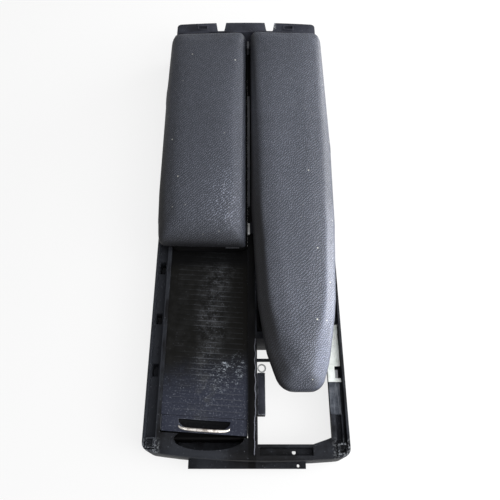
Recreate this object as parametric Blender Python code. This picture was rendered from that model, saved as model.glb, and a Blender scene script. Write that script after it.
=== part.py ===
"""Centre console armrest: a moulded console top with two padded lids that open outwards,
a ribbed shutter that slides back over a cup bin, and a through opening beside it.

Numbers are millimetres and the scene is in metres. +X is right, +Y is the rear, +Z is up.
The origin is under the middle of the part, at the height of its feet.
"""
import math

import bmesh
import bpy
from mathutils import Matrix, Vector

MM = 0.001

# Clearances
GAP = 0.3
RUNNING_GAP = 0.6

# Moulded frame
FRAME_WIDTH = 210.0
FRAME_REAR = 286.0
FRAME_FRONT = -303.3
RIM_RISE = 2.0
WALL = 2.5
FRONT_ARC_X = 25.0
FRONT_ARC_RADIUS = 890.0
FRONT_CORNER_RADIUS = 9.0
FRONT_PANEL_DROP = 2.0
FRONT_MEMBER = 21.0
REAR_MEMBER = 40.0

# Side rails and divider
CHANNEL_WIDTH = 10.2
TRACK_WALL = 4.3
TRACK_TOP = 46.0
LEDGE_DROP = 8.0
DIVIDER_X = 7.0
DIVIDER_WIDTH = 10.0
RAIL_HOLE_WIDTH = 7.0
RAIL_HOLES = ((-97.3, -81.6), (-159.0, -146.0), (-217.9, -203.7))
RAIL_DOTS = (-192.5, -185.7)
RAIL_DOT_RADIUS = 1.1
RAIL_DOT_DEPTH = 1.7
SOCKET_DEPTH = 14.0
SOCKET_WALL = 1.5

# Openings beside and under the right lid
RIGHT_OPENING_FRONT = -287.6
RIGHT_OPENING_CHAMFER = (20.0, 6.6)
BRIDGE_RIB_Y = -200.0
BRIDGE_RIB_WIDTH = 3.0
BRIDGE_RIB_DROP = 7.0
BRIDGE_RIB_HEIGHT = 3.0
BIN_WALL_RIB_Y = -174.0
BIN_WALL_RIB_WIDTH = 8.0
PANEL_HOLE_X = 37.0
PANEL_CHANNEL_DEPTH = 10.0
PANEL_CHANNEL_LIP = 3.0
PANEL_CHANNEL_RIM = 5.0
PANEL_CHANNEL_MARGIN = 2.0
PANEL_HOLE_RADIUS = 2.0

# Lower front flange with its screw tab
FLANGE_REACH = 5.7
FLANGE_SETBACKS = (45.0, 43.0)
FLANGE_Z = 18.0
FLANGE_THICKNESS = 3.0
TAB_HOLE_SETBACK = 8.0
TAB_HOLE_RADIUS = 1.5

# Finger scallop in front of the shutter
SCALLOP_OFFSET = 5.0
SCALLOP_WIDTH = 72.0
SCALLOP_REACH = 11.4
SCALLOP_DEPTH = 34.0
SILL_GAP = 1.7
SILL_THICKNESS = 3.0

# Clip pockets in the front corners, and the rib on the right ledge
CORNER_POCKET = (7.0, 7.5)
CORNER_POCKET_WALL = 1.6
CORNER_POCKET_DEPTH = 8.0
LEDGE_RIB_SETBACK = 2.6
LEDGE_RIB_WIDTH = 1.4
LEDGE_RIB_HEIGHT = 6.0

# Rear bracket
BRACKET_STEP = 3.0
BRACKET_REACH = 23.0
BRACKET_SEAT = 26.0
BRACKET_CORNER = 6.0
BRACKET_THICKNESS = 2.5
BRACKET_ARC_RADIUS = 1156.0
NOTCH_DEPTH = 19.0
NOTCH_WIDTH = 14.5
NOTCH_FLOOR = 9.0
NOTCH_XS = (-37.0, 35.0)
WINDOW_WIDTH = 12.0
WINDOW_DEPTH = 6.0
WINDOW_SOCKET = 7.0
WINDOW_XS = (-64.0, 63.0)
BRACKET_SCREW_INSET = 16.0
UPSTAND_HEIGHT = 21.0
UPSTAND_THICKNESS = 2.2
UPSTAND_GAP = 3.0
UPSTAND_INSET = 6.0

# Shutter
SHUTTER_DROP = 3.0
SHUTTER_THICKNESS = 2.5
SHUTTER_FRONT = -277.0
SHUTTER_BAR = 16.0
SHUTTER_SKEW = -0.066
SHUTTER_TRAVEL = 170.0
SLAT_PITCH = 6.1
SLAT_COUNT = 33
SLAT_GROOVE = 1.2
TRACK_DEPTH = 2.5
TRACK_CLEARANCE = 0.6
HANDLE_WIDTH = 54.0
HANDLE_DEPTH = 3.4
HANDLE_END = 1.0
HANDLE_BOW = 9.6
HANDLE_PROUD = 1.0
HANDLE_SETBACK = 3.4
HANDLE_POCKET = 4.2
HANDLE_WELL_WALL = 1.0

# Bins, tray and mats
BIN_WALL = 2.0
BIN_CORNER = 8.0
BIN_FLOOR = 0.5
CUP_BIN_DROP = 4.5
CUP_BIN_REAR = -76.0
CUP_HOLE_MARGIN = 3.9
CUP_HOLE_PITCH = 95.0
CUP_PLATE_DROP = 9.0
CUP_PLATE_THICKNESS = 3.0
RIGHT_BIN_DROP = 2.5
MAT_THICKNESS = 1.5
TRAY_FRONT = -70.0
TRAY_CLEARANCE = 1.2
TRAY_SHEET = 1.5
TRAY_DROP = 0.2

# Lids
LID_OVERHANG = 2.4
SLIT_X = 3.0
SLIT_WIDTH = 5.1
LID_REAR = 262.8
LEFT_LID_FRONT = -75.0
RIGHT_LID_FRONT = -240.6
LID_CLEARANCE = 2.5
LID_BASE_THICKNESS = 5.5
LID_BASE_INSET = 9.7
LINER_MARGIN = 1.5
RIGHT_LINER_SETBACK = 90.0
LINER_THICKNESS = 1.2
LINER_CORNER = 6.0
PAD_TUCK = 6.0
PAD_WIDEST = 11.7
PAD_BEVEL_FOOT = (2.0, 5.5)
PAD_BEVEL_REAR = 5.0
PAD_BEVEL_FRONT = 15.5
PAD_BEVEL_TOP = 12.4
PAD_CROWN_INSET = 28.0
PAD_CROWN = 1.6

# Lid hinges
HINGE_INBOARD = 3.5
HINGE_RISE = 4.0
KNUCKLE_RADIUS = 3.5
PIN_RADIUS = 1.5
PIN_HEAD_RADIUS = 2.6
PIN_HEAD = 1.2
LEAF_LENGTH = 20.0
LEAF_THICKNESS = 2.0
LID_KNUCKLE_LENGTH = 8.0
LEFT_HINGE_YS = (10.0, 205.0)
RIGHT_HINGE_YS = (-20.0, 205.0)
SPRING_WIRE = 0.55
SPRING_RADIUS = 2.6
SPRING_TURNS = 4
SPRING_LEG = 5.0
SPRING_PITCH = 1.45

# Latches
TONGUE_Y = -42.5
TONGUE_LENGTH = 15.0
TONGUE_DROP = 2.2
STRIKER_WIDTH = 3.2
STRIKER_HEIGHT = 3.2
BUTTON_LENGTH = 16.0
BUTTON_HEIGHT = 3.0
BUTTON_DEPTH = 14.0
BUTTON_PROUD = 4.5
BUTTON_TRAVEL = 2.5
LEFT_BUTTON_X = -16.0
RIGHT_BUTTON_Y = -92.0

# Small pieces on the frame
BUMPER_RADIUS = 3.2
REST_WIDTH = 3.0
REST_LENGTH = 13.5
REST_RISE = 3.7
STRIP_WIDTH = 2.8
STRIP_Y = (-10.0, 168.0)
STRIP_HEIGHT = 1.3
LABEL_PAD_Y = (-224.0, -160.0)
LABEL_WINDOW_Y = (-220.0, -207.0)
LABEL_WINDOW_WIDTH = 6.0
LABEL_PAD_THICKNESS = 1.5
FELT_PAD_Y = (-258.0, -224.4)
FELT_PAD_THICKNESS = 2.2
FELT_PAD_STEP = 2.2
SIDE_BOX_Y = (-258.0, -214.0)
SIDE_BOX_WIDTH = 8.2
SIDE_BOX_DROP = 6.0
SIDE_BOX_HEIGHT = 14.0
RING_RADIUS = 4.0
RING_WIRE = 0.8
SCREW_HEAD_RADIUS = 2.8
SCREW_HEAD = 1.6
SCREW_SHANK_RADIUS = 1.4
SCREW_LENGTH = 7.0

# Faces round a circle
ROUND = 16
CORNER_STEPS = 4
CUT_MARGIN = 5.0

# What follows from the sizes above
HALF_WIDTH = FRAME_WIDTH / 2
CHANNEL_OUTER = HALF_WIDTH - WALL
CHANNEL_INNER = CHANNEL_OUTER - CHANNEL_WIDTH
BAY_SIDE = CHANNEL_INNER - TRACK_WALL
DIVIDER_LEFT = DIVIDER_X - DIVIDER_WIDTH / 2
DIVIDER_RIGHT = DIVIDER_X + DIVIDER_WIDTH / 2
RIM_TOP = TRACK_TOP + RIM_RISE
LEDGE_TOP = TRACK_TOP - LEDGE_DROP
FRONT_PANEL_TOP = TRACK_TOP - FRONT_PANEL_DROP
BRIDGE_RIB_TOP = TRACK_TOP - BRIDGE_RIB_DROP
PANEL_CHANNEL_FLOOR = FRONT_PANEL_TOP - PANEL_CHANNEL_DEPTH
SCALLOP_FLOOR = FRONT_PANEL_TOP - SCALLOP_DEPTH
BAY_FRONT = FRAME_FRONT + FRONT_MEMBER
BAY_REAR = FRAME_REAR - REAR_MEMBER
LEFT_BAY_MIDDLE = (DIVIDER_LEFT - BAY_SIDE) / 2
SCALLOP_X = LEFT_BAY_MIDDLE + SCALLOP_OFFSET
BRACKET_FRONT = FRAME_REAR - BRACKET_SEAT
LEDGE_BOTTOM = LEDGE_TOP - WALL
FLANGE_X = (-HALF_WIDTH + FLANGE_SETBACKS[0], HALF_WIDTH - FLANGE_SETBACKS[1])
BRACKET_WIDTH = FRAME_WIDTH - 2 * BRACKET_STEP
BRACKET_SCREW_X = BRACKET_WIDTH / 2 - BRACKET_SCREW_INSET
BRACKET_SCREW_XS = (-BRACKET_SCREW_X, 0.0, BRACKET_SCREW_X)
LID_BASE_BOTTOM = RIM_TOP + LID_CLEARANCE
LID_SIDE = HALF_WIDTH + LID_OVERHANG
LEFT_LID_SLIT = SLIT_X - SLIT_WIDTH / 2
RIGHT_LID_SLIT = SLIT_X + SLIT_WIDTH / 2
PAD_BOTTOM = LID_BASE_BOTTOM + LID_BASE_THICKNESS + GAP
HINGE_X = HALF_WIDTH - HINGE_INBOARD
HINGE_Z = RIM_TOP + HINGE_RISE
BORE_RADIUS = PIN_RADIUS + GAP
LINER_INSET = BUTTON_DEPTH - BUTTON_PROUD + BUTTON_TRAVEL + RUNNING_GAP + LINER_MARGIN
BAR_REAR = SHUTTER_FRONT + SHUTTER_BAR
CURTAIN_FRONT = BAR_REAR + GAP
CURTAIN_REAR = CURTAIN_FRONT + SLAT_PITCH * SLAT_COUNT
SHUTTER_TOP = TRACK_TOP - SHUTTER_DROP
SHUTTER_BOTTOM = SHUTTER_TOP - SHUTTER_THICKNESS
CUP_BIN_TOP = SHUTTER_BOTTOM - CUP_BIN_DROP
CUP_PLATE_TOP = CUP_BIN_TOP - CUP_PLATE_DROP
CUP_HOLE_RADIUS = (DIVIDER_LEFT + BAY_SIDE) / 2 - 2 * GAP - BIN_WALL - CUP_HOLE_MARGIN
RIGHT_BIN_TOP = TRACK_TOP - RIGHT_BIN_DROP
TRAY_FLOOR = SHUTTER_TOP + TRAY_CLEARANCE
TRAY_DEPTH = RIM_TOP - TRAY_DROP - TRAY_FLOOR
BIN_WALL_FRONT = BIN_WALL_RIB_Y - BIN_WALL_RIB_WIDTH / 2
BIN_WALL_REAR = BIN_WALL_RIB_Y + BIN_WALL_RIB_WIDTH / 2

MATERIALS = {
    "black_plastic": ((0.018, 0.018, 0.020), 0.45, 0.0),
    "shutter_plastic": ((0.020, 0.023, 0.030), 0.40, 0.0),
    "pad_leather": ((0.045, 0.050, 0.060), 0.55, 0.0),
    "liner_felt": ((0.030, 0.030, 0.032), 0.95, 0.0),
    "mat_rubber": ((0.025, 0.025, 0.025), 0.80, 0.0),
    "bracket_plastic": ((0.022, 0.022, 0.024), 0.50, 0.0),
    "hinge_steel": ((0.45, 0.45, 0.46), 0.35, 1.0),
    "chrome": ((0.80, 0.79, 0.77), 0.12, 1.0),
    "grey_plastic": ((0.16, 0.17, 0.18), 0.60, 0.0),
    "label_foam": ((0.55, 0.58, 0.58), 0.85, 0.0),
}


def material(name):
    """The named material, made once from its colour, roughness and metallic value."""
    found = bpy.data.materials.get(name)
    if found:
        return found
    colour, roughness, metallic = MATERIALS[name]
    made = bpy.data.materials.new(name)
    made.use_nodes = True
    shader = made.node_tree.nodes["Principled BSDF"]
    shader.inputs["Base Color"].default_value = (*colour, 1.0)
    shader.inputs["Roughness"].default_value = roughness
    shader.inputs["Metallic"].default_value = metallic
    made.diffuse_color = (*colour, 1.0)
    return made


def finish_mesh(name, shape, finish=None, smooth=False):
    """Turns a bmesh in millimetres into a scene object in metres."""
    bmesh.ops.scale(shape, vec=(MM, MM, MM), verts=shape.verts)
    bmesh.ops.recalc_face_normals(shape, faces=shape.faces)
    mesh = bpy.data.meshes.new(name)
    shape.to_mesh(mesh)
    shape.free()
    made = bpy.data.objects.new(name, mesh)
    bpy.context.scene.collection.objects.link(made)
    if finish:
        mesh.materials.append(material(finish))
    if smooth:
        mesh.shade_smooth()
        mesh.set_sharp_from_angle(angle=math.radians(35))
    return made


def loft(name, rings, finish=None, smooth=False):
    """A closed solid through rings of points, each ring with as many points as the next."""
    shape = bmesh.new()
    rows = [[shape.verts.new(point) for point in ring] for ring in rings]
    for low, high in zip(rows, rows[1:]):
        for index in range(len(low)):
            after = (index + 1) % len(low)
            shape.faces.new((low[index], low[after], high[after], high[index]))
    shape.faces.new(rows[0][::-1])
    shape.faces.new(rows[-1])
    return finish_mesh(name, shape, finish, smooth)


def prism(name, outline, bottom, top, finish=None, smooth=False):
    """An outline in X and Y, carried from one height to another."""
    rings = [[(x, y, z) for x, y in outline] for z in (bottom, top)]
    return loft(name, rings, finish, smooth)


def bar_along_y(name, profile, front, rear, finish=None, smooth=False):
    """A profile in X and Z, carried from front to rear."""
    rings = [[(x, y, z) for x, z in profile] for y in (front, rear)]
    return loft(name, rings, finish, smooth)


def block(name, xs, ys, zs, finish=None):
    outline = [(xs[0], ys[0]), (xs[1], ys[0]), (xs[1], ys[1]), (xs[0], ys[1])]
    return prism(name, outline, zs[0], zs[1], finish)


def cylinder(name, start, end, radius, finish=None, segments=ROUND):
    """A round bar between two points."""
    shape = bmesh.new()
    start = Vector(start)
    end = Vector(end)
    turn = Vector((0, 0, 1)).rotation_difference(end - start).to_matrix().to_4x4()
    bmesh.ops.create_cone(
        shape,
        cap_ends=True,
        segments=segments,
        radius1=radius,
        radius2=radius,
        depth=(end - start).length,
        matrix=Matrix.Translation((start + end) / 2) @ turn,
    )
    return finish_mesh(name, shape, finish, smooth=True)


def turned_up(name, x, y, steps, finish=None):
    """A solid turned about an upright axis: steps are (radius, height) from the bottom up."""
    rings = []
    for radius, height in steps:
        ring = []
        for index in range(ROUND):
            angle = 2 * math.pi * index / ROUND
            ring.append((x + radius * math.cos(angle), y + radius * math.sin(angle), height))
        rings.append(ring)
    return loft(name, rings, finish, smooth=True)


def tube_along(name, points, radius, sides, about, finish=None, closed=False):
    """A round wire along a row of points that turn about one direction."""
    shape = bmesh.new()
    rows = []
    count = len(points)
    for index, point in enumerate(points):
        before = points[index - 1] if index or closed else point
        after = points[(index + 1) % count] if closed or index + 1 < count else point
        ahead = (Vector(after) - Vector(before)).normalized()
        side = ahead.cross(Vector(about)).normalized()
        up = side.cross(ahead)
        row = []
        for step in range(sides):
            angle = 2 * math.pi * step / sides
            place = Vector(point) + radius * (math.cos(angle) * side + math.sin(angle) * up)
            row.append(shape.verts.new(place))
        rows.append(row)
    pairs = list(zip(rows, rows[1:]))
    if closed:
        pairs.append((rows[-1], rows[0]))
    for low, high in pairs:
        for step in range(sides):
            after = (step + 1) % sides
            shape.faces.new((low[step], low[after], high[after], high[step]))
    if not closed:
        shape.faces.new(rows[0][::-1])
        shape.faces.new(rows[-1])
    return finish_mesh(name, shape, finish, smooth=True)


def tool(made):
    """Marks an object as a cutter or a lump to be joined, not a piece of its own."""
    made.hide_render = True
    made.display_type = "WIRE"
    return made


def combine(target, other, operation):
    modifier = target.modifiers.new(operation.lower(), "BOOLEAN")
    modifier.operation = operation
    modifier.solver = "EXACT"
    modifier.object = tool(other)


def cut(target, *cutters):
    for cutter in cutters:
        combine(target, cutter, "DIFFERENCE")


def join(target, *lumps):
    for lump in lumps:
        combine(target, lump, "UNION")


def rounded(corners, steps=CORNER_STEPS):
    """The points of a closed outline whose corners are (x, y, radius), anticlockwise."""
    points = []
    for index, (x, y, radius) in enumerate(corners):
        here = Vector((x, y))
        before = Vector(corners[index - 1][:2]) - here
        after = Vector(corners[(index + 1) % len(corners)][:2]) - here
        half_turn = (math.pi - before.angle(after)) / 2
        reach = min(radius * math.tan(half_turn), 0.48 * before.length, 0.48 * after.length)
        start = here + before.normalized() * reach
        end = here + after.normalized() * reach
        weight = math.cos(half_turn)
        for step in range(steps + 1):
            t = step / steps
            shares = ((1 - t) ** 2, 2 * weight * t * (1 - t), t**2)
            place = (shares[0] * start + shares[1] * here + shares[2] * end) / sum(shares)
            points.append((place.x, place.y))
    return points


def inset(corners, amount):
    """The same outline moved inwards, with its corners tightened to match.

    The amount is one number, or a function of y where the move differs from front to rear.
    """
    moved = []
    for index, (x, y, radius) in enumerate(corners):
        inward = amount(y) if callable(amount) else amount
        here = Vector((x, y))
        along_in = (here - Vector(corners[index - 1][:2])).normalized()
        along_out = (Vector(corners[(index + 1) % len(corners)][:2]) - here).normalized()
        normal_in = Vector((-along_in.y, along_in.x))
        normal_out = Vector((-along_out.y, along_out.x))
        mitre = (normal_in + normal_out) / (1 + normal_in.dot(normal_out))
        place = here + mitre * inward
        moved.append((place.x, place.y, max(radius - inward, 2.0)))
    return moved


def rectangle(xs, ys, radius):
    places = ((xs[0], ys[0]), (xs[1], ys[0]), (xs[1], ys[1]), (xs[0], ys[1]))
    return [(x, y, radius) for x, y in places]


def front_edge(x):
    """Y of the frame's bowed front edge."""
    return FRAME_FRONT + (x - FRONT_ARC_X) ** 2 / (2 * FRONT_ARC_RADIUS)


def bracket_edge(x):
    """Y of the rear bracket's bowed rear edge."""
    return FRAME_REAR + BRACKET_REACH - x**2 / (2 * BRACKET_ARC_RADIUS)


def upstand_front(x):
    """Y of the front of the bracket's bowed upstand, just behind the lids."""
    return LID_REAR + UPSTAND_GAP - x**2 / (2 * BRACKET_ARC_RADIUS)


def curtain_y(x, y):
    """The shutter's bars lie a little askew: their right ends are further forward."""
    return y + SHUTTER_SKEW * (x - LEFT_BAY_MIDDLE)


def screw_steps(seat, length=SCREW_LENGTH):
    """A pan head on a seat, with its shank below."""
    return [
        (SCREW_SHANK_RADIUS, seat + GAP - length),
        (SCREW_SHANK_RADIUS, seat + GAP),
        (SCREW_HEAD_RADIUS, seat + GAP),
        (SCREW_HEAD_RADIUS, seat + GAP + SCREW_HEAD * 0.6),
        (SCREW_HEAD_RADIUS * 0.75, seat + GAP + SCREW_HEAD),
    ]


def screw_hole(name, x, y, bottom, top):
    radius = SCREW_SHANK_RADIUS + GAP
    return turned_up(name, x, y, [(radius, bottom), (radius, top)])


def spaced(points, least=0.5):
    """The points without those that lie closer than least to the one before."""
    kept = [points[0]]
    for point in points[1:]:
        if (Vector(point) - Vector(kept[-1])).length > least:
            kept.append(point)
    return kept


def frame_blank():
    """The frame's full outline, up to its rim."""
    xs = [-HALF_WIDTH + FRAME_WIDTH * index / 12 for index in range(1, 12)]
    corners = [(-HALF_WIDTH, front_edge(-HALF_WIDTH), FRONT_CORNER_RADIUS)]
    corners += [(x, front_edge(x), 0.01) for x in xs]
    corners += [(HALF_WIDTH, front_edge(HALF_WIDTH), FRONT_CORNER_RADIUS)]
    corners += [(HALF_WIDTH, FRAME_REAR, 3.0), (-HALF_WIDTH, FRAME_REAR, 3.0)]
    return prism("console_frame", spaced(rounded(corners)), 0.0, RIM_TOP, "black_plastic")


def cut_bays(frame):
    """The left bay under the shutter and the tray, and the right bay's three openings."""
    low = -CUT_MARGIN
    high = RIM_TOP + CUT_MARGIN
    bay_right = BAY_SIDE
    run, rise = RIGHT_OPENING_CHAMFER
    opening = [
        (DIVIDER_RIGHT, RIGHT_OPENING_FRONT),
        (bay_right - run, RIGHT_OPENING_FRONT),
        (bay_right, RIGHT_OPENING_FRONT + rise),
        (bay_right, BRIDGE_RIB_Y - BRIDGE_RIB_WIDTH / 2),
        (DIVIDER_RIGHT, BRIDGE_RIB_Y - BRIDGE_RIB_WIDTH / 2),
    ]
    behind_rib = (BRIDGE_RIB_Y + BRIDGE_RIB_WIDTH / 2, BIN_WALL_FRONT)
    rib_y = (BRIDGE_RIB_Y - BRIDGE_RIB_WIDTH, BRIDGE_RIB_Y + BRIDGE_RIB_WIDTH)
    rib_bottom = BRIDGE_RIB_TOP - BRIDGE_RIB_HEIGHT
    right = (DIVIDER_RIGHT, bay_right)
    cut(
        frame,
        block("cut_left_bay", (-BAY_SIDE, DIVIDER_LEFT), (BAY_FRONT, BAY_REAR), (low, high)),
        prism("cut_right_opening", opening, low, high),
        block("cut_behind_rib", right, behind_rib, (low, high)),
        block("cut_over_rib", right, rib_y, (BRIDGE_RIB_TOP, high)),
        block("cut_under_rib", right, rib_y, (low, rib_bottom)),
        block("cut_right_bin", right, (BIN_WALL_REAR, BAY_REAR), (low, high)),
    )


def cut_steps(frame):
    """Lowers the front panel, the track walls and the ledges below the rim."""
    high = RIM_TOP + CUT_MARGIN
    ledge_front = FRAME_FRONT + FRONT_MEMBER / 2
    inner = (-CHANNEL_INNER, CHANNEL_INNER)
    channel_x = (DIVIDER_RIGHT + PANEL_CHANNEL_MARGIN, BAY_SIDE - RIGHT_OPENING_CHAMFER[0])
    channel_y = (FRAME_FRONT + PANEL_CHANNEL_RIM, RIGHT_OPENING_FRONT - PANEL_CHANNEL_LIP)
    pads_x = (BAY_SIDE - 1.0, CHANNEL_INNER + 1.0)
    pads_y = (FELT_PAD_Y[0] - GAP, LABEL_PAD_Y[1] + GAP)
    cut(
        frame,
        block("cut_panel_channel", channel_x, channel_y, (PANEL_CHANNEL_FLOOR, high)),
        block("cut_pad_seat", pads_x, pads_y, (LEDGE_TOP, high)),
        block("cut_track_tops", inner, (BAY_FRONT - 1.0, BAY_REAR), (TRACK_TOP, high)),
        block("cut_front_panel", inner, (FRAME_FRONT - CUT_MARGIN, BAY_FRONT), (FRONT_PANEL_TOP, high)),
    )
    for side in (-1, 1):
        xs = sorted((side * CHANNEL_OUTER, side * CHANNEL_INNER))
        name = "left" if side < 0 else "right"
        cut(frame, block(f"cut_{name}_ledge", xs, (ledge_front, BAY_REAR), (LEDGE_TOP, high)))
        cut(frame, block(f"cut_{name}_channel", xs, (ledge_front, BAY_REAR), (-CUT_MARGIN, LEDGE_BOTTOM)))


def cut_underside(frame):
    """Hollows the cross members and the divider from below."""
    low = -CUT_MARGIN
    members_x = (-CHANNEL_INNER, CHANNEL_INNER)
    rear_y = (BAY_REAR + WALL, FRAME_REAR - WALL)
    core = (DIVIDER_LEFT + TRACK_DEPTH + 1.5, DIVIDER_RIGHT - WALL)
    core_y = (BAY_FRONT + WALL, BAY_REAR - WALL)
    chamfer_start = BAY_SIDE - RIGHT_OPENING_CHAMFER[0]
    scallop_left = SCALLOP_X - SCALLOP_WIDTH / 2
    roof = PANEL_CHANNEL_FLOOR - WALL
    left_side = front_hollow((-CHANNEL_INNER, scallop_left - WALL), BAY_FRONT - WALL)
    below = front_hollow((scallop_left - WALL - 1.0, DIVIDER_LEFT + 1.0), BAY_FRONT - WALL)
    right_side = front_hollow((DIVIDER_LEFT, chamfer_start), RIGHT_OPENING_FRONT - WALL)
    under_ledge = (RIGHT_OPENING_FRONT + RIGHT_OPENING_CHAMFER[1], BIN_WALL_FRONT)
    cut(
        frame,
        prism("cut_left_hollow", left_side, low, roof),
        prism("cut_scallop_hollow", below, low, SCALLOP_FLOOR - WALL),
        prism("cut_right_hollow", right_side, low, roof),
        block("cut_rear_hollow", members_x, rear_y, (low, RIM_TOP - WALL)),
        block("cut_divider_hollow", core, core_y, (low, LEDGE_BOTTOM)),
        block("cut_under_ledge", (BAY_SIDE - 1.0, CHANNEL_INNER + 1.0), under_ledge, (low, LEDGE_BOTTOM)),
    )


def front_hollow(xs, rear):
    """Outline of a hollow in the front member, one wall behind its bowed face."""
    stops = [xs[0] + index * (xs[1] - xs[0]) / 4 for index in range(5)]
    return [(x, front_edge(x) + WALL) for x in stops] + [(xs[1], rear), (xs[0], rear)]


def front_sill(frame):
    """Carries the front panel back to the shutter, whose front edge is askew."""
    near = BAY_FRONT - 1.0
    corners = [(-BAY_SIDE - 1.0, near), (DIVIDER_LEFT + 1.0, near)]
    for x in (DIVIDER_LEFT + 1.0, -BAY_SIDE - 1.0):
        corners.append((x, curtain_y(x, SHUTTER_FRONT - SILL_GAP)))
    join(frame, prism("join_front_sill", corners, FRONT_PANEL_TOP - SILL_THICKNESS, FRONT_PANEL_TOP))


def front_corners(frame):
    """A clip box in each front corner, and a rib along the right ledge ahead of the felt pad."""
    width, length = CORNER_POCKET
    wall = CORNER_POCKET_WALL
    outer = CHANNEL_OUTER - wall
    for side in (-1, 1):
        near = front_edge(side * outer) + WALL + wall
        box_xs = sorted((side * (outer + 0.5), side * (outer - width - wall)))
        box_ys = (near - wall + 0.5, near + length + wall)
        join(frame, block(f"join_corner_box_{side}", box_xs, box_ys, (LEDGE_TOP - 1.0, RIM_TOP)))
        xs = sorted((side * outer, side * (outer - width)))
        zs = (RIM_TOP - CORNER_POCKET_DEPTH, RIM_TOP + 1.0)
        cut(frame, block(f"cut_corner_pocket_{side}", xs, (near, near + length), zs))
    rib_x = (CHANNEL_OUTER - LEDGE_RIB_SETBACK - LEDGE_RIB_WIDTH, CHANNEL_OUTER - LEDGE_RIB_SETBACK)
    rib_y = (near + length, FELT_PAD_Y[0] - GAP)
    join(frame, block("join_ledge_rib", rib_x, rib_y, (LEDGE_TOP - 1.0, LEDGE_TOP + LEDGE_RIB_HEIGHT)))


def cut_shutter_ways(frame):
    """The two grooves that the shutter's edges run in, and the finger scallop."""
    bottom = SHUTTER_BOTTOM - TRACK_CLEARANCE
    top = SHUTTER_TOP + TRACK_CLEARANCE
    rear = CURTAIN_REAR + SHUTTER_TRAVEL + 12.0
    ys = (BAY_FRONT + 0.5, rear)
    left = (-BAY_SIDE - TRACK_DEPTH, -BAY_SIDE + 1.0)
    right = (DIVIDER_LEFT - 1.0, DIVIDER_LEFT + TRACK_DEPTH)
    scallop = []
    for index in range(2 * ROUND):
        angle = math.pi * index / ROUND
        x = SCALLOP_X + SCALLOP_WIDTH / 2 * math.cos(angle)
        scallop.append((x, BAY_FRONT + SCALLOP_REACH * math.sin(angle)))
    cut(
        frame,
        block("cut_left_track", left, ys, (bottom, top)),
        block("cut_right_track", right, ys, (bottom, top)),
        prism("cut_scallop", scallop, SCALLOP_FLOOR, RIM_TOP + CUT_MARGIN),
    )


def cut_holes(frame):
    """Clip holes, screw holes and the window in the ledges and the front panel."""
    ledge = (LEDGE_BOTTOM - 1.0, LEDGE_TOP + 1.0)
    outer = CHANNEL_OUTER - 0.5
    for index, ys in enumerate(RAIL_HOLES):
        clip_socket(frame, f"rail_{index}", -1, (-outer, -outer + RAIL_HOLE_WIDTH), ys)
    clip_socket(frame, "label", 1, (outer - LABEL_WINDOW_WIDTH, outer), LABEL_WINDOW_Y)
    for index, y in enumerate(RAIL_DOTS):
        x = -(CHANNEL_OUTER + CHANNEL_INNER) / 2
        steps = [(RAIL_DOT_RADIUS, LEDGE_TOP - RAIL_DOT_DEPTH), (RAIL_DOT_RADIUS, ledge[1])]
        cut(frame, turned_up(f"cut_rail_dot_{index}", x, y, steps))
    panel = [(PANEL_HOLE_RADIUS, PANEL_CHANNEL_FLOOR - 2 * WALL), (PANEL_HOLE_RADIUS, RIM_TOP)]
    panel_y = (FRAME_FRONT + PANEL_CHANNEL_RIM + RIGHT_OPENING_FRONT - PANEL_CHANNEL_LIP) / 2
    cut(frame, turned_up("cut_panel_hole", DIVIDER_RIGHT + PANEL_HOLE_X, panel_y, panel))
    for side, hinge_ys in ((-1, LEFT_HINGE_YS), (1, RIGHT_HINGE_YS)):
        for y in hinge_ys:
            name = f"cut_leaf_screw_{side}_{int(y)}"
            cut(frame, screw_hole(name, side * leaf_screw_x(), y, *ledge))
    for x in BRACKET_SCREW_XS:
        name = f"cut_bracket_screw_{int(x)}"
        cut(frame, screw_hole(name, x, bracket_screw_y(), RIM_TOP - 6.0, RIM_TOP + 1.0))


def clip_socket(frame, name, side, xs, ys):
    """A blind socket for a clip: a block across the rail's channel, with the hole sunk in it."""
    block_xs = sorted((side * (CHANNEL_INNER - 0.5), side * (CHANNEL_OUTER + 0.5)))
    block_ys = (ys[0] - SOCKET_WALL, ys[1] + SOCKET_WALL)
    floor = LEDGE_BOTTOM - SOCKET_DEPTH
    block_zs = (floor - SOCKET_WALL, LEDGE_BOTTOM + 0.5)
    join(frame, block(f"join_socket_{name}", block_xs, block_ys, block_zs))
    cut(frame, block(f"cut_socket_{name}", xs, ys, (floor, LEDGE_TOP + 1.0)))


def leaf_screw_x():
    """Middle of the hinge leaf's foot, with room for the screw head beside the track wall."""
    return CHANNEL_INNER + 2 * GAP + SCREW_HEAD_RADIUS


def bracket_screw_y():
    """Middle of the seat that is left behind the upstand."""
    return (LID_REAR + UPSTAND_GAP + UPSTAND_THICKNESS + FRAME_REAR) / 2


def console_frame():
    """One moulding: rails, divider, cross members, shutter ways and the lower front flange."""
    frame = frame_blank()
    flange_front = FRAME_FRONT - FLANGE_REACH
    flange = block(
        "join_front_flange",
        FLANGE_X,
        (flange_front, FRAME_FRONT + WALL + 4.0),
        (FLANGE_Z, FLANGE_Z + FLANGE_THICKNESS),
    )
    join(frame, flange)
    cut_bays(frame)
    cut_steps(frame)
    front_sill(frame)
    cut_underside(frame)
    cut_shutter_ways(frame)
    cut_holes(frame)
    front_corners(frame)
    steps = [(TAB_HOLE_RADIUS, FLANGE_Z - 1.0), (TAB_HOLE_RADIUS, FLANGE_Z + FLANGE_THICKNESS + 1.0)]
    hole_x = FLANGE_X[1] - TAB_HOLE_SETBACK
    cut(frame, turned_up("cut_tab_hole", hole_x, flange_front + FLANGE_REACH / 2, steps))


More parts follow.
